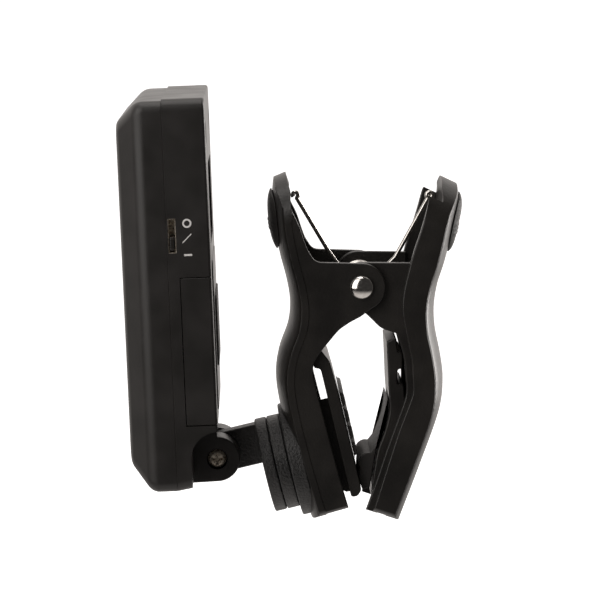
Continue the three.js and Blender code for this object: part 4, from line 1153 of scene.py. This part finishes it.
def floor():
    """A wide pale floor, well below the clip."""
    shape = bmesh.new()
    bmesh.ops.create_grid(shape, x_segments=8, y_segments=8, size=6)
    mesh = bpy.data.meshes.new("floor")
    shape.to_mesh(mesh)
    shape.free()
    f = Finish("pale_floor")
    paper = f.noise(3.0)
    f.surface(f.ramp(paper, (0.93, 0.93, 0.93), (0.95, 0.95, 0.95)), f.spread(paper, 0.85, 0.95))
    f.constant(Emission_Color=(1, 1, 1, 1), Emission_Strength=0.9)
    mesh.materials.append(f.material)
    item = bpy.data.objects.new("floor", mesh)
    item.location.z = -0.14
    item.visible_glossy = False
    item.visible_diffuse = False
    item.visible_shadow = False
    bpy.context.scene.collection.objects.link(item)


def studio():
    """Pale surroundings: bright behind and below, dim in front, where the camera stands."""
    world = bpy.data.worlds.new("studio")
    world.use_nodes = True
    bpy.context.scene.world = world
    tree = world.node_tree
    background = tree.nodes["Background"]
    white = tree.nodes.new("ShaderNodeBackground")
    white.inputs["Color"].default_value = (1, 1, 1, 1)
    white.inputs["Strength"].default_value = 1.05
    direction = tree.nodes.new("ShaderNodeTexCoord").outputs["Generated"]
    split = tree.nodes.new("ShaderNodeSeparateXYZ")
    tree.links.new(direction, split.inputs[0])

    def rise(source, start, end, low, high):
        node = tree.nodes.new("ShaderNodeMapRange")
        node.interpolation_type = "SMOOTHSTEP"
        for name, value in (("From Min", start), ("From Max", end), ("To Min", low), ("To Max", high)):
            node.inputs[name].default_value = value
        tree.links.new(source, node.inputs["Value"])
        return node.outputs["Result"]

    behind = rise(split.outputs["Y"], -0.1, 0.45, 0.035, 0.95)
    below = rise(split.outputs["Z"], -0.3, -0.75, 0.0, 0.6)
    level = rise(split.outputs["Z"], -0.5, -0.2, 0.1, 1.0)
    total = tree.nodes.new("ShaderNodeMath")
    total.operation = "MULTIPLY_ADD"
    tree.links.new(behind, total.inputs[0])
    tree.links.new(level, total.inputs[1])
    tree.links.new(below, total.inputs[2])
    background.inputs["Color"].default_value = (1.0, 0.945, 0.905, 1)
    tree.links.new(total.outputs[0], background.inputs["Strength"])
    mix = tree.nodes.new("ShaderNodeMixShader")
    seen = tree.nodes.new("ShaderNodeLightPath").outputs["Is Camera Ray"]
    tree.links.new(seen, mix.inputs[0])
    tree.links.new(background.outputs[0], mix.inputs[1])
    tree.links.new(white.outputs[0], mix.inputs[2])
    tree.links.new(mix.outputs[0], tree.nodes["World Output"].inputs["Surface"])


def softbox(name, place, aim, size, power):
    """A slightly warm rectangular light."""
    data = bpy.data.lights.new(name, "AREA")
    data.shape = "RECTANGLE"
    data.size, data.size_y = size
    data.energy = power
    data.color = (1, 0.96, 0.93)
    item = bpy.data.objects.new(name, data)
    item.location = place
    item.rotation_euler = (Vector(aim) - Vector(place)).to_track_quat("-Z", "Y").to_euler()
    bpy.context.scene.collection.objects.link(item)


def camera():
    """A long lens, with its place and its axes: right, up and the way it looks."""
    data = bpy.data.cameras.new("camera")
    data.sensor_width = 36
    data.lens = 149.3
    data.clip_start = 0.01
    item = bpy.data.objects.new("camera", data)
    look = Vector((0.02266, 0.98950, -0.14276))
    right = Vector((0.99961, -0.02005, 0.01964))
    up = right.cross(look)
    turn = Matrix((right, up, -look)).transposed().to_4x4()
    item.matrix_world = Matrix.Translation((-0.0180, -0.38668, 0.07831)) @ turn
    bpy.context.scene.collection.objects.link(item)
    bpy.context.scene.camera = item


bpy.context.scene.view_settings.view_transform = "Standard"
floor()
studio()
middle = (cad_box[0] + cad_box[1]) / 2
softbox("left_softbox", (-0.35, -0.33, 0.2), middle, (0.45, 0.6), 1.8)
softbox("right_softbox", (0.45, 0.25, 0.12), middle, (0.25, 0.5), 3.0)
softbox("top_softbox", (-0.12, -0.05, 0.6), middle, (0.5, 0.3), 1.0)
camera()
